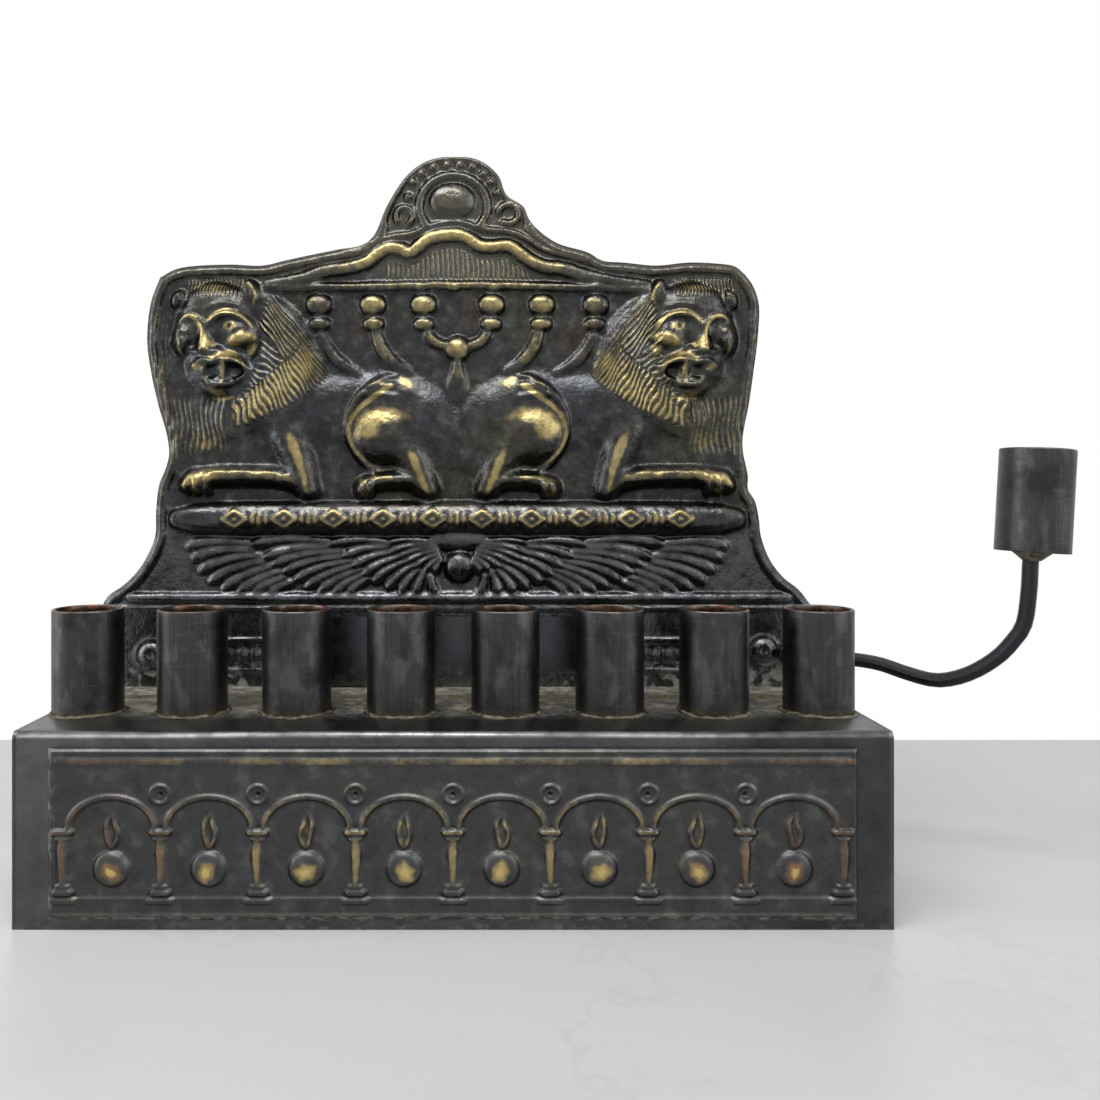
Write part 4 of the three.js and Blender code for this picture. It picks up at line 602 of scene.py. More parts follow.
# Materials
class Shader:
    def __init__(self, name):
        self.material = bpy.data.materials.new(name)
        self.material.use_nodes = True
        self.nodes = self.material.node_tree.nodes
        self.links = self.material.node_tree.links
        self.nodes.clear()
        self.out = self.nodes.new("ShaderNodeOutputMaterial")
        self.bsdf = self.nodes.new("ShaderNodeBsdfPrincipled")
        self.links.new(self.bsdf.outputs[0], self.out.inputs[0])
        self.place = self.nodes.new("ShaderNodeTexCoord").outputs["Object"]

    def put(self, socket, value):
        if isinstance(value, bpy.types.NodeSocket):
            self.links.new(value, socket)
        elif isinstance(value, (tuple, list)) and len(value) == 3 and socket.type == "RGBA":
            socket.default_value = (*value, 1)
        else:
            socket.default_value = value

    def math(self, kind, a, b=0.0, c=0.0, clamp=False):
        node = self.nodes.new("ShaderNodeMath")
        node.operation, node.use_clamp = kind, clamp
        for k, v in enumerate((a, b, c)):
            self.put(node.inputs[k], v)
        return node.outputs[0]

    def times(self, a, b):
        return self.math("MULTIPLY", a, b)

    def plus(self, a, b):
        return self.math("ADD", a, b)

    def mix(self, factor, a, b):
        node = self.nodes.new("ShaderNodeMix")
        node.data_type = "RGBA"
        self.put(node.inputs[0], factor)
        self.put(node.inputs[6], a)
        self.put(node.inputs[7], b)
        return node.outputs[2]

    def ramp(self, value, low, high, start=0.0, end=1.0):
        node = self.nodes.new("ShaderNodeMapRange")
        node.interpolation_type = "SMOOTHSTEP"
        for k, v in enumerate((value, low, high, start, end)):
            self.put(node.inputs[k], v)
        return node.outputs[0]

    def tint(self, color, value, low, high, share, other):
        """The colour with a share of another where a value passes from low to high."""
        return self.mix(self.ramp(value, low, high, 0.0, share), color, other)

    def noise(self, scale, detail=4.0, stretch=(1, 1, 1), shift=0.0):
        mapping = self.nodes.new("ShaderNodeMapping")
        self.links.new(self.place, mapping.inputs["Vector"])
        mapping.inputs["Scale"].default_value = stretch
        mapping.inputs["Location"].default_value = (shift, shift * 0.7, shift * 1.3)
        node = self.nodes.new("ShaderNodeTexNoise")
        self.links.new(mapping.outputs[0], node.inputs["Vector"])
        node.inputs["Scale"].default_value = scale
        node.inputs["Detail"].default_value = detail
        node.inputs["Roughness"].default_value = 0.55
        return node.outputs["Fac"]

    def attribute(self, name):
        node = self.nodes.new("ShaderNodeAttribute")
        node.attribute_name = name
        return node.outputs["Fac"]

    def axis(self, name):
        node = self.nodes.new("ShaderNodeSeparateXYZ")
        self.links.new(self.place, node.inputs[0])
        return node.outputs[name]

    def bump(self, height, distance, strength=1.0, under=None):
        node = self.nodes.new("ShaderNodeBump")
        node.inputs["Distance"].default_value = distance
        node.inputs["Strength"].default_value = strength
        self.links.new(height, node.inputs["Height"])
        if under is not None:
            self.links.new(under, node.inputs["Normal"])
        return node.outputs[0]

    def finish(self, color, rough, metallic=1.0, normal=None):
        self.put(self.bsdf.inputs["Base Color"], color)
        self.put(self.bsdf.inputs["Roughness"], rough)
        self.put(self.bsdf.inputs["Metallic"], metallic)
        if normal is not None:
            self.links.new(normal, self.bsdf.inputs["Normal"])
        return self.material


# Linear colours of the metal, of what covers it, and of painted shade
DARK = (0.049, 0.048, 0.048)
BLUE = (0.045, 0.048, 0.053)
OLIVE = (0.058, 0.058, 0.044)
BROWN = (0.062, 0.050, 0.041)
GOLD = (0.42, 0.33, 0.14)
PALE = (0.20, 0.195, 0.18)
COPPER = (0.20, 0.105, 0.068)
VERDIGRIS = (0.20, 0.235, 0.20)
OCHRE = (0.13, 0.105, 0.060)
CRUST = (0.21, 0.215, 0.185)
# Near-black for fine dark speckles in the patina, and for the painted shade in the relief's recesses
SOOT_AND_SHADE = (0.011, 0.010, 0.009)


def patina(s, drift=60.0):
    """Dark patina whose tint drifts between blue, olive and brown."""
    wide = s.noise(drift, 3.0)
    other = s.noise(drift * 0.6, 3.0, shift=11.0)
    fine = s.noise(900.0, 5.0, shift=3.0)
    color = s.mix(s.ramp(wide, 0.42, 0.62), DARK, BLUE)
    color = s.mix(s.ramp(other, 0.50, 0.68), color, OLIVE)
    color = s.tint(color, s.noise(drift * 0.8, 4.0, shift=23.0), 0.56, 0.72, 0.8, BROWN)
    return s.tint(color, fine, 0.3, 0.75, 0.35, SOOT_AND_SHADE)


def plate_material():
    s = Shader("pressed plate patina with painted light")
    raised, hollow, warm = s.attribute("raised"), s.attribute("hollow"), s.attribute("warm")
    stroke, depth = s.attribute("stroke"), s.attribute("stroke_depth")
    wave = s.math("COSINE", s.times(stroke, 2 * math.pi))
    strand = s.times(s.math("POWER", s.math("MULTIPLY_ADD", wave, 0.5, 0.5), 1.4), depth)
    wear = s.noise(420.0, 5.0, shift=5.0)
    rub = s.plus(raised, s.times(strand, 0.75))
    rub = s.plus(rub, s.times(s.math("SUBTRACT", wear, 0.5), 1.3))
    gold = s.times(s.ramp(rub, 0.25, 1.45), warm)
    film = s.times(s.ramp(rub, -0.05, 0.85, 0.0, 0.6), warm)
    silver = s.times(s.ramp(rub, 0.6, 1.2), s.math("SUBTRACT", 1.0, warm, clamp=True))
    # Painted reflection: the plate turns a lighter, bluish grey towards the bottom, most of all on the band
    # low down behind the cups
    low = s.ramp(s.axis("Z"), 0.0905, 0.0875)
    color = s.mix(s.ramp(s.axis("Z"), 0.120, 0.106, 0.0, 0.45), patina(s), (0.105, 0.106, 0.108))
    color = s.mix(s.times(low, 0.7), color, (0.105, 0.108, 0.116))
    # Painted shade: recesses turn near-black by how hollow the relief is there, less so on the low band
    shade = s.times(s.ramp(hollow, 0.2, 1.0, 0.0, 0.48), s.math("MULTIPLY_ADD", low, -0.6, 1.0))
    color = s.mix(shade, color, SOOT_AND_SHADE)
    mottle = s.noise(230.0, 6.0, shift=61.0)
    color = s.tint(color, mottle, 0.50, 0.72, 0.5, (0.115, 0.117, 0.118))
    color = s.tint(color, mottle, 0.50, 0.36, 0.6, (0.023, 0.023, 0.024))
    color = s.tint(color, s.axis("Z"), 0.190, 0.204, 0.45, (0.115, 0.110, 0.092))
    color = s.mix(film, color, (0.088, 0.082, 0.056))
    # The silver is rubbed wear on raised parts, and painted highlight on the ledge and roll bands
    color = s.mix(s.times(silver, 0.45), color, PALE)
    color = s.mix(s.times(gold, 0.92), color, GOLD)
    rough = s.plus(s.ramp(gold, 0.0, 1.0, 0.19, 0.26), s.times(s.noise(300.0, 4.0, shift=8.0), 0.14))
    fine = s.bump(s.noise(1500.0, 4.0, shift=1.0), 0.00008)
    pits = s.bump(s.noise(560.0, 3.0, shift=51.0), 0.00028, 0.7, fine)
    dents = s.bump(s.noise(120.0, 3.0, shift=2.0), 0.0008, 0.6, pits)
    normal = s.bump(strand, 0.00045, 1.0, dents)
    crust = s.times(s.ramp(s.axis("Z"), 0.070, 0.058), s.ramp(s.noise(210.0, 5.0, shift=41.0), 0.48, 0.60))
    crust = s.times(crust, s.ramp(s.axis("Y"), 0.0312, 0.0306))
    color = s.mix(s.times(crust, 0.8), color, CRUST)
    rough = s.plus(rough, s.times(crust, 0.4))
    return s.finish(color, rough, s.math("SUBTRACT", 1.0, s.times(crust, 0.8)), normal)


def simple_metal(name, own, rough_low, streak=0.0, dents=0.0004):
    """The colour, roughness and normal of a plain sheet or rod in its own colour."""
    s = Shader(name)
    color = s.mix(0.6, patina(s, 45.0), own)
    normal = s.bump(s.noise(1300.0, 4.0), 0.00004)
    rough = s.plus(rough_low, s.times(s.noise(220.0, 4.0, shift=9.0), 0.22))
    if streak:
        lines = s.noise(1400.0, 3.0, (1, 1, 0.03), shift=4.0)
        color = s.tint(color, lines, 0.35, 0.7, streak, (0.075, 0.073, 0.078))
        normal = s.bump(lines, 0.00005, 0.8, normal)
    normal = s.bump(s.noise(70.0, 2.0, shift=6.0), dents, 0.7, normal)
    return s, color, rough, normal


def cup_material():
    s, color, rough, normal = simple_metal("cup patina", (0.046, 0.045, 0.050), 0.30, streak=0.45)
    blotch = s.noise(160.0, 4.0, (1, 1, 0.5), shift=14.0)
    color = s.tint(color, blotch, 0.50, 0.64, 0.6, (0.105, 0.104, 0.106))
    stain = s.noise(110.0, 5.0, (1, 1, 0.6), shift=37.0)
    color = s.tint(color, stain, 0.54, 0.66, 0.7, (0.026, 0.024, 0.023))
    across = s.noise(700.0, 3.0, (0.12, 0.12, 1), shift=43.0)
    color = s.tint(color, across, 0.55, 0.75, 0.3, (0.12, 0.117, 0.11))
    rim, inside, foot = s.attribute("rim"), s.attribute("inside"), s.attribute("foot")
    low = s.plus(foot, s.times(s.noise(500.0, 4.0, shift=2.0), 0.5))
    color = s.tint(color, low, 0.7, 1.2, 0.6, OCHRE)
    rusty = s.ramp(s.noise(330.0, 4.0, shift=71.0), 0.42, 0.62)
    color = s.mix(inside, color, s.mix(rusty, (0.030, 0.022, 0.016), (0.125, 0.070, 0.038)))
    bare = s.ramp(s.noise(260.0, 4.0, shift=31.0), 0.42, 0.62, 0.15, 0.7)
    lip = s.mix(s.ramp(s.noise(190.0, 3.0, shift=77.0), 0.46, 0.60), PALE, COPPER)
    color = s.mix(s.times(rim, bare), color, lip)
    return s.finish(color, rough, normal=normal)


def arm_material():
    s, color, rough, normal = simple_metal("arm patina", (0.024, 0.024, 0.027), 0.30)
    return s.finish(color, rough, normal=normal)


def base_material():
    s, color, rough, normal = simple_metal("base patina with painted highlight", (0.096, 0.098, 0.103), 0.24, dents=0.0006)
    z, y = s.axis("Z"), s.axis("Y")
    wear = s.noise(260.0, 5.0, shift=7.0)
    mottle = s.noise(95.0, 6.0, shift=63.0)
    color = s.tint(color, mottle, 0.50, 0.68, 0.5, (0.120, 0.118, 0.112))
    color = s.tint(color, mottle, 0.47, 0.33, 0.5, (0.040, 0.040, 0.044))
    color = s.tint(color, s.noise(620.0, 5.0, shift=67.0), 0.55, 0.72, 0.35, (0.040, 0.036, 0.034))
    edge = s.ramp(z, 0.0545, 0.0553)
    dusty = s.times(s.ramp(s.plus(y, s.times(wear, 0.012)), -0.009, 0.009), edge)
    dusty = s.times(dusty, s.ramp(s.noise(500.0, 5.0, shift=19.0), 0.25, 0.6, 0.35, 0.9))
    stain = s.ramp(s.noise(150.0, 5.0, shift=29.0), 0.40, 0.62)
    color = s.mix(dusty, color, s.mix(stain, (0.150, 0.142, 0.115), (0.37, 0.345, 0.27)))
    rough = s.plus(rough, s.times(dusty, 0.35))
    # Painted highlight: a pale line along the front top bend of the base
    bend = s.times(s.ramp(z, 0.0534, 0.0545), s.ramp(y, FRONT_Y * MM + 0.0018, FRONT_Y * MM + 0.0008))
    bend = s.times(bend, s.ramp(s.noise(150.0, 4.0, shift=69.0), 0.35, 0.6, 0.35, 1.0))
    color = s.mix(s.times(bend, 0.6), color, (0.30, 0.30, 0.29))
    low = s.times(s.ramp(z, 0.0026, 0.0006), s.ramp(wear, 0.52, 0.66))
    color = s.mix(s.times(low, 0.4), color, VERDIGRIS)
    return s.finish(color, rough, s.math("SUBTRACT", 1.0, s.times(dusty, 0.9)), normal)


def plaque_material():
    s = Shader("plaque patina with painted light")
    raised, hollow, red = s.attribute("raised"), s.attribute("hollow"), s.attribute("red")
    wear = s.noise(500.0, 5.0, shift=5.0)
    rub = s.plus(raised, s.times(s.math("SUBTRACT", wear, 0.5), 0.7))
    gold = s.ramp(rub, 0.2, 0.95)
    metal = s.mix(red, GOLD, COPPER)
    # Brighter brass where the rub value passes 0.95, which at the lamps' centres is their painted highlight
    metal = s.mix(s.ramp(rub, 0.95, 1.4), metal, (0.66, 0.50, 0.18))
    color = s.mix(0.5, patina(s, 70.0), (0.078, 0.079, 0.079))
    mottle = s.noise(170.0, 6.0, shift=65.0)
    color = s.tint(color, mottle, 0.50, 0.70, 0.5, (0.135, 0.132, 0.122))
    color = s.tint(color, mottle, 0.47, 0.33, 0.5, (0.040, 0.039, 0.040))
    # Painted shade: recesses of the arcade darken towards near-black by how hollow they are
    color = s.tint(color, hollow, 0.2, 1.0, 0.8, SOOT_AND_SHADE)
    color = s.mix(s.times(gold, 0.9), color, metal)
    green = s.times(s.attribute("seam"), s.ramp(s.noise(300.0, 5.0, shift=17.0), 0.45, 0.6))
    color = s.mix(s.times(green, 0.8), color, VERDIGRIS)
    rough = s.plus(s.ramp(gold, 0.0, 1.0, 0.36, 0.27), s.times(green, 0.4))
    normal = s.bump(s.noise(1500.0, 4.0, shift=1.0), 0.00006)
    return s.finish(color, rough, s.math("SUBTRACT", 1.0, s.times(green, 0.8)), normal)


def solder_material():
    s = Shader("old solder")
    a, b = s.noise(600.0, 5.0), s.noise(350.0, 4.0, shift=9.0)
    color = s.mix(s.ramp(a, 0.35, 0.65), (0.055, 0.048, 0.034), (0.15, 0.128, 0.082))
    color = s.tint(color, b, 0.56, 0.66, 0.4, VERDIGRIS)
    normal = s.bump(a, 0.0003)
    return s.finish(color, s.ramp(a, 0.3, 0.7, 0.5, 0.8), s.ramp(b, 0.45, 0.6, 0.8, 0.1), normal)


def centre_material():
    s, color, rough, normal = simple_metal("centre plate patina", (0.078, 0.082, 0.090), 0.16, dents=0.0003)
    low = s.times(s.ramp(s.axis("Z"), 0.066, 0.0602), s.ramp(s.noise(240.0, 5.0, shift=7.0), 0.46, 0.62))
    color = s.mix(s.times(low, 0.45), color, VERDIGRIS)
    return s.finish(color, rough, normal=normal)


PLATE = plate_material()
CENTRE = centre_material()
CUP = cup_material()
ARM = arm_material()
BASE = base_material()
PLAQUE = plaque_material()
SOLDER = solder_material()


# Backplate
def plate_wear_and_painted_light(r, marks, x, z, height, rim):
    """How raised, how hollow and how warm in colour the plate is at each point. Hollow feeds the painted
    shade in recesses, and the ledge and roll bands are painted highlights.
    """
    own, on_mark = r.at(x, z), marks.at(x, z) / MARKS
    wide, widest = r.at(x, z, blur(r.h, 9.0)), r.at(x, z, blur(r.h, 26.0))
    raised = np.clip((own - wide) / 1.6 + 0.1, 0, 1) + np.clip((own - widest) / 3.2 - 0.1, 0, 1)
    gilt = Relief(*WINDOW)
    gilding(gilt)
    above = np.maximum(smooth(214, 234, z) * smooth(158, 146, np.abs(x)), smooth(326, 334, z))
    dim = 1 - 0.4 * smooth(95, 135, np.abs(x))
    raised = raised * (0.16 + 0.24 * smooth(84, 76, z) + 0.40 * above * dim) + gilt.at(x, z) * 1.15
    raised = np.maximum(np.clip(raised, 0, 1), on_mark)
    # Painted highlights: pale bands along the ledge and along the top of the roll, which the material turns
    # silver
    ledge = smooth(-5, -1, z) * smooth(8, 4, z)
    roll = smooth(93, 98, z) * smooth(105, 101, z) * smooth(328, 310, np.abs(x))
    raised = np.maximum(raised, np.maximum(np.maximum(ledge, roll) * 0.85, rim * 0.7))
    hollow = np.clip((wide - height) / 1.4, 0, 1)
    warm = np.maximum(smooth(100, 112, z) * (1 - 0.75 * smooth(384, 396, z)), on_mark) * (1 - 0.95 * rim)
    return dict(raised=raised, hollow=hollow, warm=warm)


def plate_points(x, z, y):
    points = np.column_stack([MID_X + x * STEP, y, LEDGE + z * STEP])
    points[:, 2] = np.clip(points[:, 2], BASE_HEIGHT, TOP_Z)
    return points


def backplate():
    r, marks = Relief(*WINDOW), Relief(*WINDOW)
    for draw in (lions, lion_heads, paws, tails, branches, canopy, crest, wings, rails):
        draw(r)
    roll_marks(marks)
    r.h += marks.h
    across, up = 366, 238
    x, z = edge_grid(across, up).reshape(-1, 2).T
    edge, slim = edge_distance(x, z), smooth(372, 392, z)
    rim = bump(np.clip(np.abs(edge - 6.5 + 3.2 * slim) / (5.0 - 2.0 * slim), 0, 1), 0.75) * smooth(-4, 6, z)
    height = np.maximum(r.at(x, z), 1.6 * rim) * smooth(0, 2.5, edge)
    data = plate_wear_and_painted_light(r, marks, x, z, height, rim)
    data["stroke"], data["stroke_depth"] = hair(x, z)
    front = plate_points(x, z, PLATE_Y - height)
    back_across, back_up = 120, 78
    x, z = edge_grid(back_across, back_up).reshape(-1, 2).T
    back_y = PLATE_Y + PLATE_SHEET - 0.02
    hollow = np.clip(r.at(x, z, blur(r.h, 2.0)) - 0.1, 0, None) * smooth(0, 6, edge_distance(x, z))
    back = plate_points(x, z, back_y - hollow)
    points, faces = sheet_mesh(front, across, up, back_y, back, back_across, back_up)
    plate = mesh_piece("backplate_pressed_sheet", points, faces, PLATE, ("backplate",), data)
    x0, x1 = MID_X - PLATE_WIDTH / 2, MID_X + PLATE_WIDTH / 2
    y0, y1 = PLATE_Y - PLATE_FLANGE, PLATE_Y + PLATE_SHEET / 2
    z0, z1 = BASE_HEIGHT + 0.01, BASE_HEIGHT + PLATE_SHEET
    corners = [(x, y, z) for x in (x0, x1) for y in (y0, y1) for z in (z0, z1)]
    sides = [(0, 1, 3, 2), (4, 6, 7, 5), (0, 4, 5, 1), (2, 3, 7, 6), (0, 2, 6, 4), (1, 5, 7, 3)]
    foot = mesh_piece("backplate_foot", corners, sides, BASE, smooth_faces=False)


def band(x, start, full, fading, end):
    """1 between two edges and 0 outside them, with soft changes."""
    return smooth(start, full, x) * (1 - smooth(fading, end, x))


# Roots and tips of the families of strands in a mane, their number and depth
STRANDS = [
    ([[-227, 204], [-207, 217], [-192, 230], [-179, 240], [-166, 250], [-158, 262], [-160, 276]],
     [[-222, 178], [-197, 187], [-177, 196], [-161, 204], [-146, 216], [-135, 225], [-127, 236]], 21, 1.0),
    ([[-198, 280], [-191, 298], [-184, 314]], [[-171, 243], [-156, 252], [-143, 264]], 8, 0.85),
    ([[-226, 203], [-208, 219], [-199, 242], [-196, 272]],
     [[-212, 184], [-188, 204], [-170, 226], [-160, 252]], 13, 0.6),
]


def hair(x, z):
    """The strands of manes, foreheads and beards, and the hatching under the canopy."""
    phase, depth = np.zeros_like(x), np.zeros_like(x)

    def add(where, own_phase, own_depth):
        take = own_depth > depth[where]
        phase[where] = np.where(take, own_phase, phase[where])
        depth[where] = np.maximum(depth[where], own_depth)

    for xs in (x, 6 - x):
        where = (xs > -245) & (xs < -112) & (z > 165) & (z < 325)
        for roots, tips, count, share in STRANDS:
            p, run, away = strokes(xs[where], z[where], roots, tips, count)
            inside = band(run, -0.1, 0.15, 0.88, 1.04) * band(p, -0.2, 0.8, count - 0.8, count + 0.2)
            add(where, p + 0.22 * np.sin(run * 7.5 + p * 0.9), share * inside * (away < 4))
        where = (xs > -276) & (xs < -207) & (z > 306) & (z < 334)
        own_x, own_z = xs[where], z[where]
        add(where, own_x / 3.6 + 0.2 * np.sin(own_z * 0.4),
            band(own_z, 309, 315, 327, 331) * band(own_x, -275, -270, -214, -210) * 0.8)
        where = (xs > -312) & (xs < -214) & (z > 145) & (z < 300)
        own_x, own_z = xs[where], z[where]
        below = 1 - smooth(205, 216, own_z)
        beside = (1 - smooth(-292, -286, own_x)) * (1 - smooth(285, 298, own_z))
        beard = band(own_x, -308, -300, -232, -222) * smooth(148, 158, own_z) * np.maximum(below, beside)
        add(where, own_x / 5.4 + 0.3 * np.sin(own_z * 0.13 + own_x * 0.07), beard * 0.5)
    where = (np.abs(x) < 82) & (z > 322) & (z < 370)
    own_x, own_z = x[where], z[where]
    roof = np.interp(own_x, [-80, -68, -48, -29, 0, 22, 51, 73], [344, 350, 345, 358, 364, 352, 352, 338])
    add(where, own_x / 5.0 + 0.1 * np.sin(own_z * 0.2),
        band(own_z, 325, 333, roof - 8, roof - 2) * (1 - smooth(70, 78, np.abs(own_x))) * 0.7)
    return phase, depth


# Arcade plaque
PLAQUE_WIDTH, PLAQUE_HEIGHT, PLAQUE_FOOT, PLAQUE_SHEET = 226.0, 47.6, 3.4, 0.8
BAY, FIELD = 27.2, 0.4
COLUMNS = [(i - 4) * BAY for i in range(9)]
BAYS = [column + BAY / 2 for column in COLUMNS[:-1]]


def arcade(r, half, top):
    """Frame, nine columns, eight arches with a rosette between each two, and eight lamps."""
    x, z = np.meshgrid(r.xs, r.zs)
    field = np.ones_like(x)
    for bay in BAYS:
        reach = np.clip(1 - ((x - bay) / 11.2) ** 2, 0, None)
        field[(np.abs(x - bay) < 11.2) & (z > 6.2) & (z < 26.2 + 7.4 * np.sqrt(reach))] = 0
    r.h = field * FIELD * smooth(0, 1, half - np.abs(x)) * smooth(1, 2, z) * smooth(0.5, 1.2, top - z)
    r.soften(0.18)
    side, low, high = half - 1.1, 1.1, top - 1.0
    r.ridges([line(-side, low, side, low, 0.7), line(-side, high, side, high, 0.7),
              line(-side, low, -side, high, 0.7), line(side, low, side, high, 0.7),
              line(3 - half, 44, half - 3, 44, 1.5, 1.15), line(3 - half, 5.6, half - 3, 5.6, 0.6, 0.7)],
             0.9, 0.6, soft=0.1)
    rings = [(3.0, 5.2, 1.1, 0.75), (1.9, 7.6, 1.2, 0.9), (1.5, 9.3, 0.7, 0.8), (1.5, 22.6, 0.6, 0.8),
             (2.2, 24.4, 1.1, 0.95)]
    for k, x in enumerate(COLUMNS):
        lean = 0.25 * math.sin(k * 2.4)
        r.ridges([line(x - reach, z, x + reach, z, width, share) for reach, z, width, share in rings],
                 1.8, 0.45, soft=0.1)
        r.ridges([[[x, 9.6, 1.1, 0.75], [x + lean, 13.5, 1.35, 0.85], [x + lean, 18.6, 1.75, 1.0],
                   [x, 22.6, 1.3, 0.8]]], 1.8, 0.5, soft=0.1)
    for x in COLUMNS[1:-1]:
        r.ridges([arc(x, 34.9, 2.5, 2.5, 0, 360, 0.7, 1, 24)], 1.3, 0.6, soft=0.05)
        r.domes([[x, 34.9, 1.5, 1.5, 0, 0.5, 0.6]], 1.2, soft=0.05)
        r.domes([[x, 34.9, 0.75, 0.75, 0, -1.0, 0.6]], 1.1, add=True)
    for k, x in enumerate(BAYS):
        r.ridges([arc(x, 25.6, BAY / 2 - 1.6, 8.6, 0, 180, 1.05, 1, 24)], 1.25, 0.55, soft=0.1)
        r.domes([[x, 14.2, 5.9, 5.9, 0, 0.16, 0.4], [x, 14.2, 5.2, 5.2, 0, 1, 0.5]], 2.6, soft=0.05)
        sway = 0.35 * math.sin(k * 1.9 + 0.6)
        for side in (-1, 1):
            r.ridges([[[x + side * 0.35, 20.0, 0.55, 0.7], [x + side * 1.0 + sway, 21.6, 0.7, 0.9],
                       [x + side * 1.55 + sway, 24.0, 0.75, 1], [x + side * 1.15 - sway, 26.6, 0.6, 0.9],
                       [x + side * 0.55, 29.0 + side * 0.5, 0.35, 0.5]]], 1.5, 0.6, soft=0.05)
        r.domes([[x, 23.4, 1.5, 4.2, 0, 0.45, 0.6]], 1.15, soft=0.2)
    r.soften(0.2)


def plaque_wear_and_painted_light(r, x, z, half):
    """How raised, how hollow, how red and how near a green seam the plaque is at each point. Hollow feeds the
    painted shade in recesses, and the lamp centres get a painted highlight.
    """
    own, wide = r.at(x, z), r.at(x, z, blur(r.h, 8.0))
    raised = np.clip((own - wide) / 1.3, 0, 1)
    shaft = smooth(8.5, 10.5, z) * smooth(32.5, 28.5, z)
    shaft = shaft * (1 - 0.5 * smooth(22.6, 23.4, z) * smooth(26.2, 25.4, z))
    from_column = np.abs((x + 4 * BAY + BAY / 2) % BAY - BAY / 2)
    from_lamp = (x + 4 * BAY) % BAY - BAY / 2
    arch = smooth(25.0, 27.5, z) * smooth(36.5, 34.5, z) * (from_column > 2.9)
    flame = np.exp(-from_lamp ** 2 / 1.6) * smooth(19.5, 21.5, z) * smooth(29.5, 26.5, z)
    raised = raised * (0.34 + 0.66 * shaft + 0.30 * arch) * np.where(from_column > 7.5, 0.75, 1.15)
    patchy = 0.5 + 0.5 * np.sin(x * 0.21) * np.sin(x * 0.083 + 1.1)
    raised = raised + 0.32 * flame + (0.12 + 0.42 * patchy) * smooth(42.8, 43.6, z) * smooth(45.6, 44.6, z)
    # Painted highlight: a bright, slightly star-shaped glint in the middle of each lamp
    for k, bay in enumerate(BAYS):
        dx, dz = x - bay - 0.5 * math.cos(k * 2.3), z - 13.8
        turn = np.arctan2(dz, dx)
        away = np.hypot(dx, dz) * (1 + 0.14 * np.sin(2 * turn + k * 2.1) + 0.08 * np.sin(5 * turn + k))
        raised = np.where(np.hypot(x - bay, z - 14.2) < 5.6, 0.12 + 1.3 * smooth(3.9, 0.2, away), raised)
    hollow = np.clip((r.at(x, z, blur(r.h, 3.0)) - own) / 0.5, 0, 1)
    red = 0.05 + 0.85 * smooth(1.6, 3.7, np.abs(x) / BAY)
    seam = np.maximum(smooth(1.6, 0.0, z), 0.8 * smooth(-half + 2.0, -half, x))
    return dict(raised=raised, hollow=hollow, red=red, seam=seam)


def plaque():
    half, top = PLAQUE_WIDTH / 2, PLAQUE_HEIGHT
    r = Relief(-half, half, 0, top, 0.25)
    arcade(r, half, top)
    across, up = 520, 150
    u, v = np.meshgrid(np.linspace(-half, half, across + 1), np.linspace(0, top, up + 1))
    x, z = u.ravel(), v.ravel()
    edge = np.minimum(np.minimum(x + half, half - x), np.minimum(z, top - z))
    height = r.at(x, z) * smooth(0, 0.5, edge)
    front = np.column_stack([MID_X + x, FRONT_Y - PLAQUE_SHEET - height, PLAQUE_FOOT + z])
    points, faces = sheet_mesh(front, across, up, FRONT_Y - 0.01)
    data = plaque_wear_and_painted_light(r, x, z, half)
    obj = mesh_piece("arcade_plaque", points, faces, PLAQUE, ("front_plaque",), data)


def turned(name, profile, marks, place, lean, stands_for):
    """A cup turned from a closed profile of (radius, height)."""
    sides, n = 96, len(profile)
    turns = np.linspace(0, 2 * np.pi, sides, endpoint=False)
    points = [(rad * math.cos(a), rad * math.sin(a), h) for a in turns for rad, h in profile]
    x, y, z = np.array(points).T
    c, s = math.cos(lean), math.sin(lean)
    points = np.column_stack([x * c + z * s, y, z * c - x * s]) + np.array(place)
    faces = []
    for k in range(sides):
        a, b = k * n, (k + 1) % sides * n
        faces += [(a + i, b + i, b + (i + 1) % n, a + (i + 1) % n) for i in range(n)]
    data = {key: np.tile(values, sides) for key, values in marks.items()}
    return mesh_piece(name, points, faces, CUP, (stands_for,), data)


def cup_x(k):
    return MID_X + CUP_ROW + (k - 4.5) * CUP_PITCH


def cups():
    outer, inner, top = CUP_RADIUS, CUP_RADIUS - CUP_WALL, CUP_HEIGHT
    profile = [(inner, 0.02), (outer - 0.05, 0.02)] + [(outer, h) for h in np.linspace(0.3, top - 0.5, 9)]
    profile += [(outer - 0.05, top - 0.2), (outer - 0.25, top - 0.02), (outer - 0.55, top),
                (inner + 0.1, top - 0.05), (inner, top - 0.35), (inner, top - 1.5), (inner, top / 2)]
    rim = [1.0 if h > top - 0.45 else 0.0 for _, h in profile]
    inside = [1.0 if rad <= inner + 0.01 else 0.0 for rad, _ in profile]
    foot = [max(0.0, 1 - h / 6) for _, h in profile]
    marks = dict(rim=rim, inside=inside, foot=foot)
    for k in range(1, 9):
        obj = turned(f"cup_{k}_tube", profile, marks, (cup_x(k), CUP_Y, BASE_HEIGHT), 0.0, f"cup_{k}")
    marks["foot"] = [0.0] * len(profile)
    place = (MID_X + SIDE_CUP_X, CUP_Y, BASE_HEIGHT + SIDE_CUP_Z)
    obj = turned("shamash_cup_tube", profile, marks, place, math.radians(SIDE_CUP_LEAN), "shamash_cup")


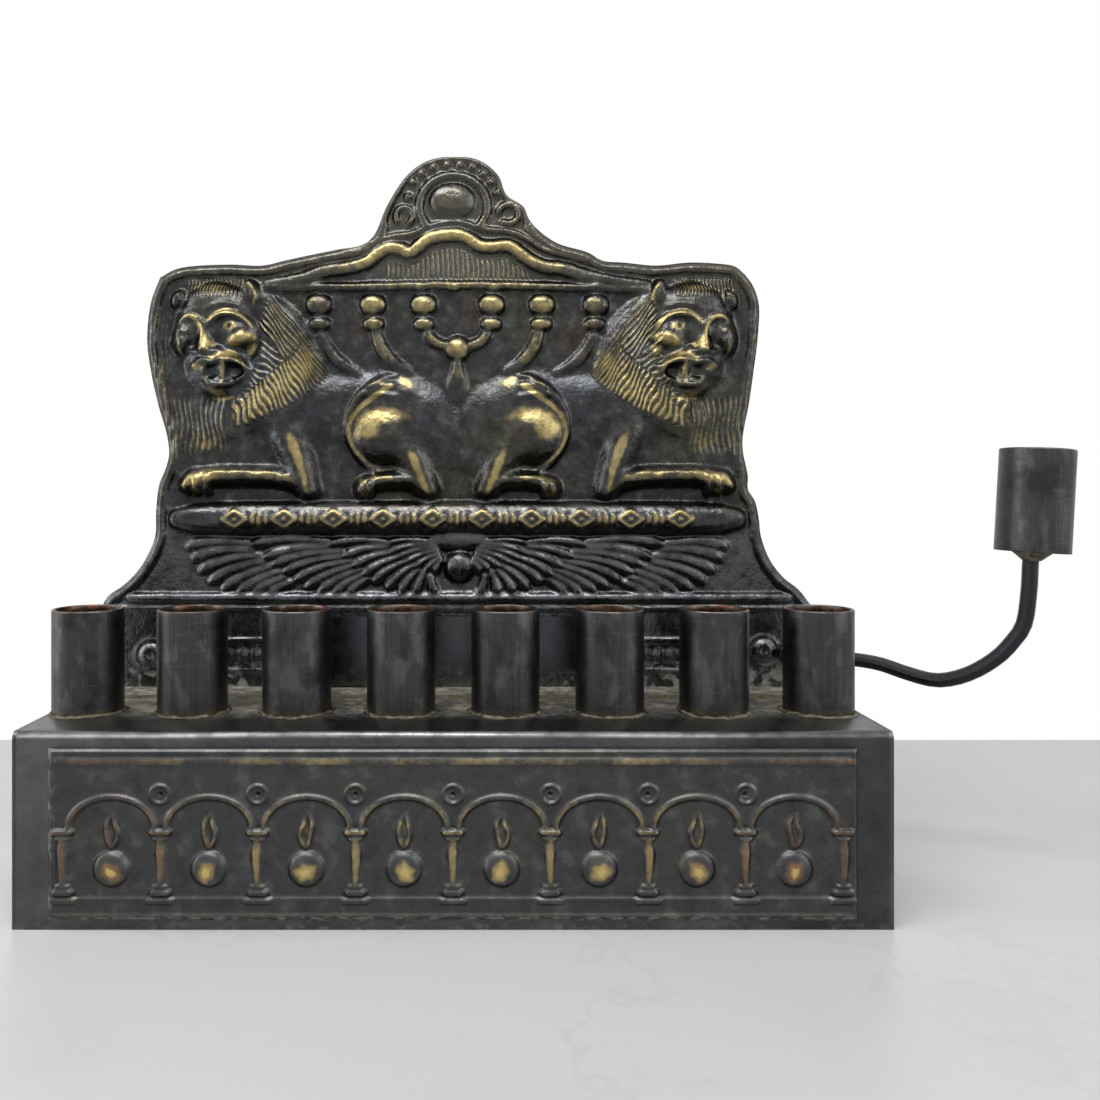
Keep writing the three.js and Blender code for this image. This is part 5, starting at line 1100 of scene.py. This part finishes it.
def bent(y0, y1, z1, bend, hem):
    """One face of the bent sheet in section, up the front wall, over the shelf and down the back wall."""
    turns = np.linspace(0, math.pi / 2, 13)
    front = [(y0 + bend - bend * math.cos(a), z1 - bend + bend * math.sin(a)) for a in turns]
    rear = [(y1 - bend + bend * math.sin(a), z1 - bend + bend * math.cos(a)) for a in turns]
    wall = (hem, hem + 0.4, z1 - bend - 0.4)
    return [(y0, z) for z in wall] + front + rear + [(y1, z) for z in wall[::-1]]


def base_shell():
    """The bent channel again, with finer bends."""
    sheet, hem = BASE_SHEET, BASE_HEM
    outer = bent(FRONT_Y, BACK_Y, BASE_HEIGHT, BASE_BEND, 0.0)
    inner = bent(FRONT_Y + sheet, BACK_Y - sheet, BASE_HEIGHT - sheet, BASE_BEND - sheet, sheet)
    loop = outer + [(BACK_Y - hem, 0), (BACK_Y - hem, sheet)]
    loop += inner[::-1] + [(FRONT_Y + hem, sheet), (FRONT_Y + hem, 0)]
    half, n = BASE_WIDTH / 2 - sheet, len(loop)
    points = [(x, y, z) for x in (MID_X - half, MID_X + half) for y, z in loop]
    faces = [(i, (i + 1) % n, n + (i + 1) % n, n + i) for i in range(n)]
    faces += [tuple(range(n))[::-1], tuple(range(n, 2 * n))]
    obj = mesh_piece("base_bent_channel", points, faces, BASE, ("base_shell",), smooth_faces=False)
    for face in obj.data.polygons:
        on_outer = all(0 < v % n < len(outer) for v in face.vertices)
        face.use_smooth = len(face.vertices) == 4 and on_outer


def solder_rings():
    turns = np.linspace(0, 2 * np.pi, 120, endpoint=False)
    n, near = 4, CUP_RADIUS + 0.06
    for k in range(1, 9):
        low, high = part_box(f"solder_ring_{k}")
        wave = sum(RNG.uniform(0.1, 0.3) * np.sin(turns * m + RNG.uniform(0, 6.3)) for m in (2, 3, 5, 8, 13))
        reach = CUP_RADIUS + 0.05 + 1.55 * np.clip(0.72 + 0.5 * wave, 0.3, 1)
        rise = 1.05 * np.clip(0.7 + 0.5 * np.roll(wave, 17), 0.35, 1)
        points, faces = [], []
        for a, far, up in zip(turns, reach, rise):
            for rad, h in ((near, 0.01), (far, 0.01), (near + (far - near) * 0.45, up * 0.62), (near, up)):
                x = np.clip(cup_x(k) + rad * math.cos(a), low[0] / MM, high[0] / MM)
                points.append((x, CUP_Y + rad * math.sin(a), BASE_HEIGHT + h))
        for i in range(len(turns)):
            a, b = i * n, (i + 1) % len(turns) * n
            faces += [(a + j, b + j, b + (j + 1) % n, a + (j + 1) % n) for j in range(n)]
        obj = mesh_piece(f"solder_fillet_{k}", points, faces, SOLDER, (f"solder_ring_{k}",))


backplate()
plaque()
cups()
base_shell()
solder_rings()

# The nodes that keep their own shape
REMADE = ("backplate", "front_plaque", "base_shell", "cup_", "shamash_cup", "solder_ring")
for name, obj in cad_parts.items():
    if name.startswith(REMADE):
        continue
    if "solder" in name or name == "shamash_collar":
        chosen = SOLDER
    elif name == "centre_plate":
        chosen = CENTRE
    elif name.startswith("base"):
        chosen = BASE
    else:
        chosen = ARM
    obj.data.materials.clear()
    obj.data.materials.append(chosen)
    if name == "shamash_arm":
        obj.data.shade_smooth()


# Floor, light and camera
def stage_plane():
    s = Shader("pale marble")
    vein = s.noise(9.0, 8.0, shift=3.0)
    color = s.mix(s.ramp(vein, 0.45, 0.7), (0.565, 0.565, 0.565), (0.52, 0.525, 0.53))
    thin = s.math("ABSOLUTE", s.math("SUBTRACT", s.noise(5.0, 6.0, shift=13.0), 0.5))
    color = s.tint(color, thin, 0.006, 0.0, 0.35, (0.48, 0.48, 0.49))
    material = s.finish(color, 0.35, 0.0)
    mesh = bpy.data.meshes.new("table top")
    wide, near, far = 1.2, -0.9, 0.18
    mesh.from_pydata([(-wide, near, 0), (wide, near, 0), (wide, far, 0), (-wide, far, 0)], [], [(0, 1, 2, 3)])
    mesh.materials.append(material)
    obj = bpy.data.objects.new("table top", mesh)
    bpy.context.scene.collection.objects.link(obj)


def area_light(name, place, target, size, power, color=(1, 1, 1)):
    data = bpy.data.lights.new(name, "AREA")
    data.shape, data.size, data.size_y = "RECTANGLE", size[0], size[1]
    data.energy, data.color = power, color
    obj = bpy.data.objects.new(name, data)
    obj.location = place
    obj.rotation_euler = (Vector(target) - Vector(place)).to_track_quat("-Z", "Y").to_euler()
    bpy.context.scene.collection.objects.link(obj)


def world_light():
    world = bpy.data.worlds.new("studio")
    bpy.context.scene.world = world
    world.use_nodes = True
    nodes, links = world.node_tree.nodes, world.node_tree.links
    nodes.clear()
    out = nodes.new("ShaderNodeOutputWorld")
    ray = nodes.new("ShaderNodeLightPath")
    seen, lit = nodes.new("ShaderNodeBackground"), nodes.new("ShaderNodeBackground")
    seen.inputs["Color"].default_value = (1, 1, 1, 1)
    seen.inputs["Strength"].default_value = 1.0
    lit.inputs["Color"].default_value = (0.9, 0.95, 1.0, 1)
    lit.inputs["Strength"].default_value = 0.3
    mix = nodes.new("ShaderNodeMixShader")
    white = ray.outputs["Is Camera Ray"]
    for kind in ("Is Glossy Ray", "Is Transmission Ray"):
        either = nodes.new("ShaderNodeMath")
        either.operation = "MAXIMUM"
        links.new(white, either.inputs[0])
        links.new(ray.outputs[kind], either.inputs[1])
        white = either.outputs[0]
    links.new(white, mix.inputs[0])
    links.new(lit.outputs[0], mix.inputs[1])
    links.new(seen.outputs[0], mix.inputs[2])
    links.new(mix.outputs[0], out.inputs[0])


stage_plane()
world_light()
area_light("window", (-0.15, -0.35, 0.75), (-0.03, 0, 0.1), (0.8, 0.16), 5.8)
area_light("side softbox", (0.75, -0.35, 0.45), (0, 0, 0.1), (0.4, 0.7), 2.4)
area_light("left strip", (-0.8, -0.1, 0.25), (0, 0, 0.08), (0.25, 0.8), 3.0)

# Where the camera stands in millimetres, its lens, and the place of its axis in the photo's pixels
CAMERA_X, CAMERA_AWAY, CAMERA_Z, LENS = 7.0, 266.0, 121.2, 31.09
PHOTO_SIZE, AXIS_X, AXIS_Y = 1100, 478, 497
camera_data = bpy.data.cameras.new("camera")
camera = bpy.data.objects.new("camera", camera_data)
bpy.context.scene.collection.objects.link(camera)
bpy.context.scene.camera = camera
camera.location = ((MID_X + CAMERA_X) * MM, (FRONT_Y - CAMERA_AWAY) * MM, CAMERA_Z * MM)
camera.rotation_euler = (math.pi / 2, 0, 0)
camera_data.sensor_width = 36.0
camera_data.lens = LENS
camera_data.shift_x = (PHOTO_SIZE / 2 - AXIS_X) / PHOTO_SIZE
camera_data.shift_y = (AXIS_Y - PHOTO_SIZE / 2) / PHOTO_SIZE
camera_data.clip_start = 0.01
bpy.context.scene.view_settings.view_transform = "Standard"
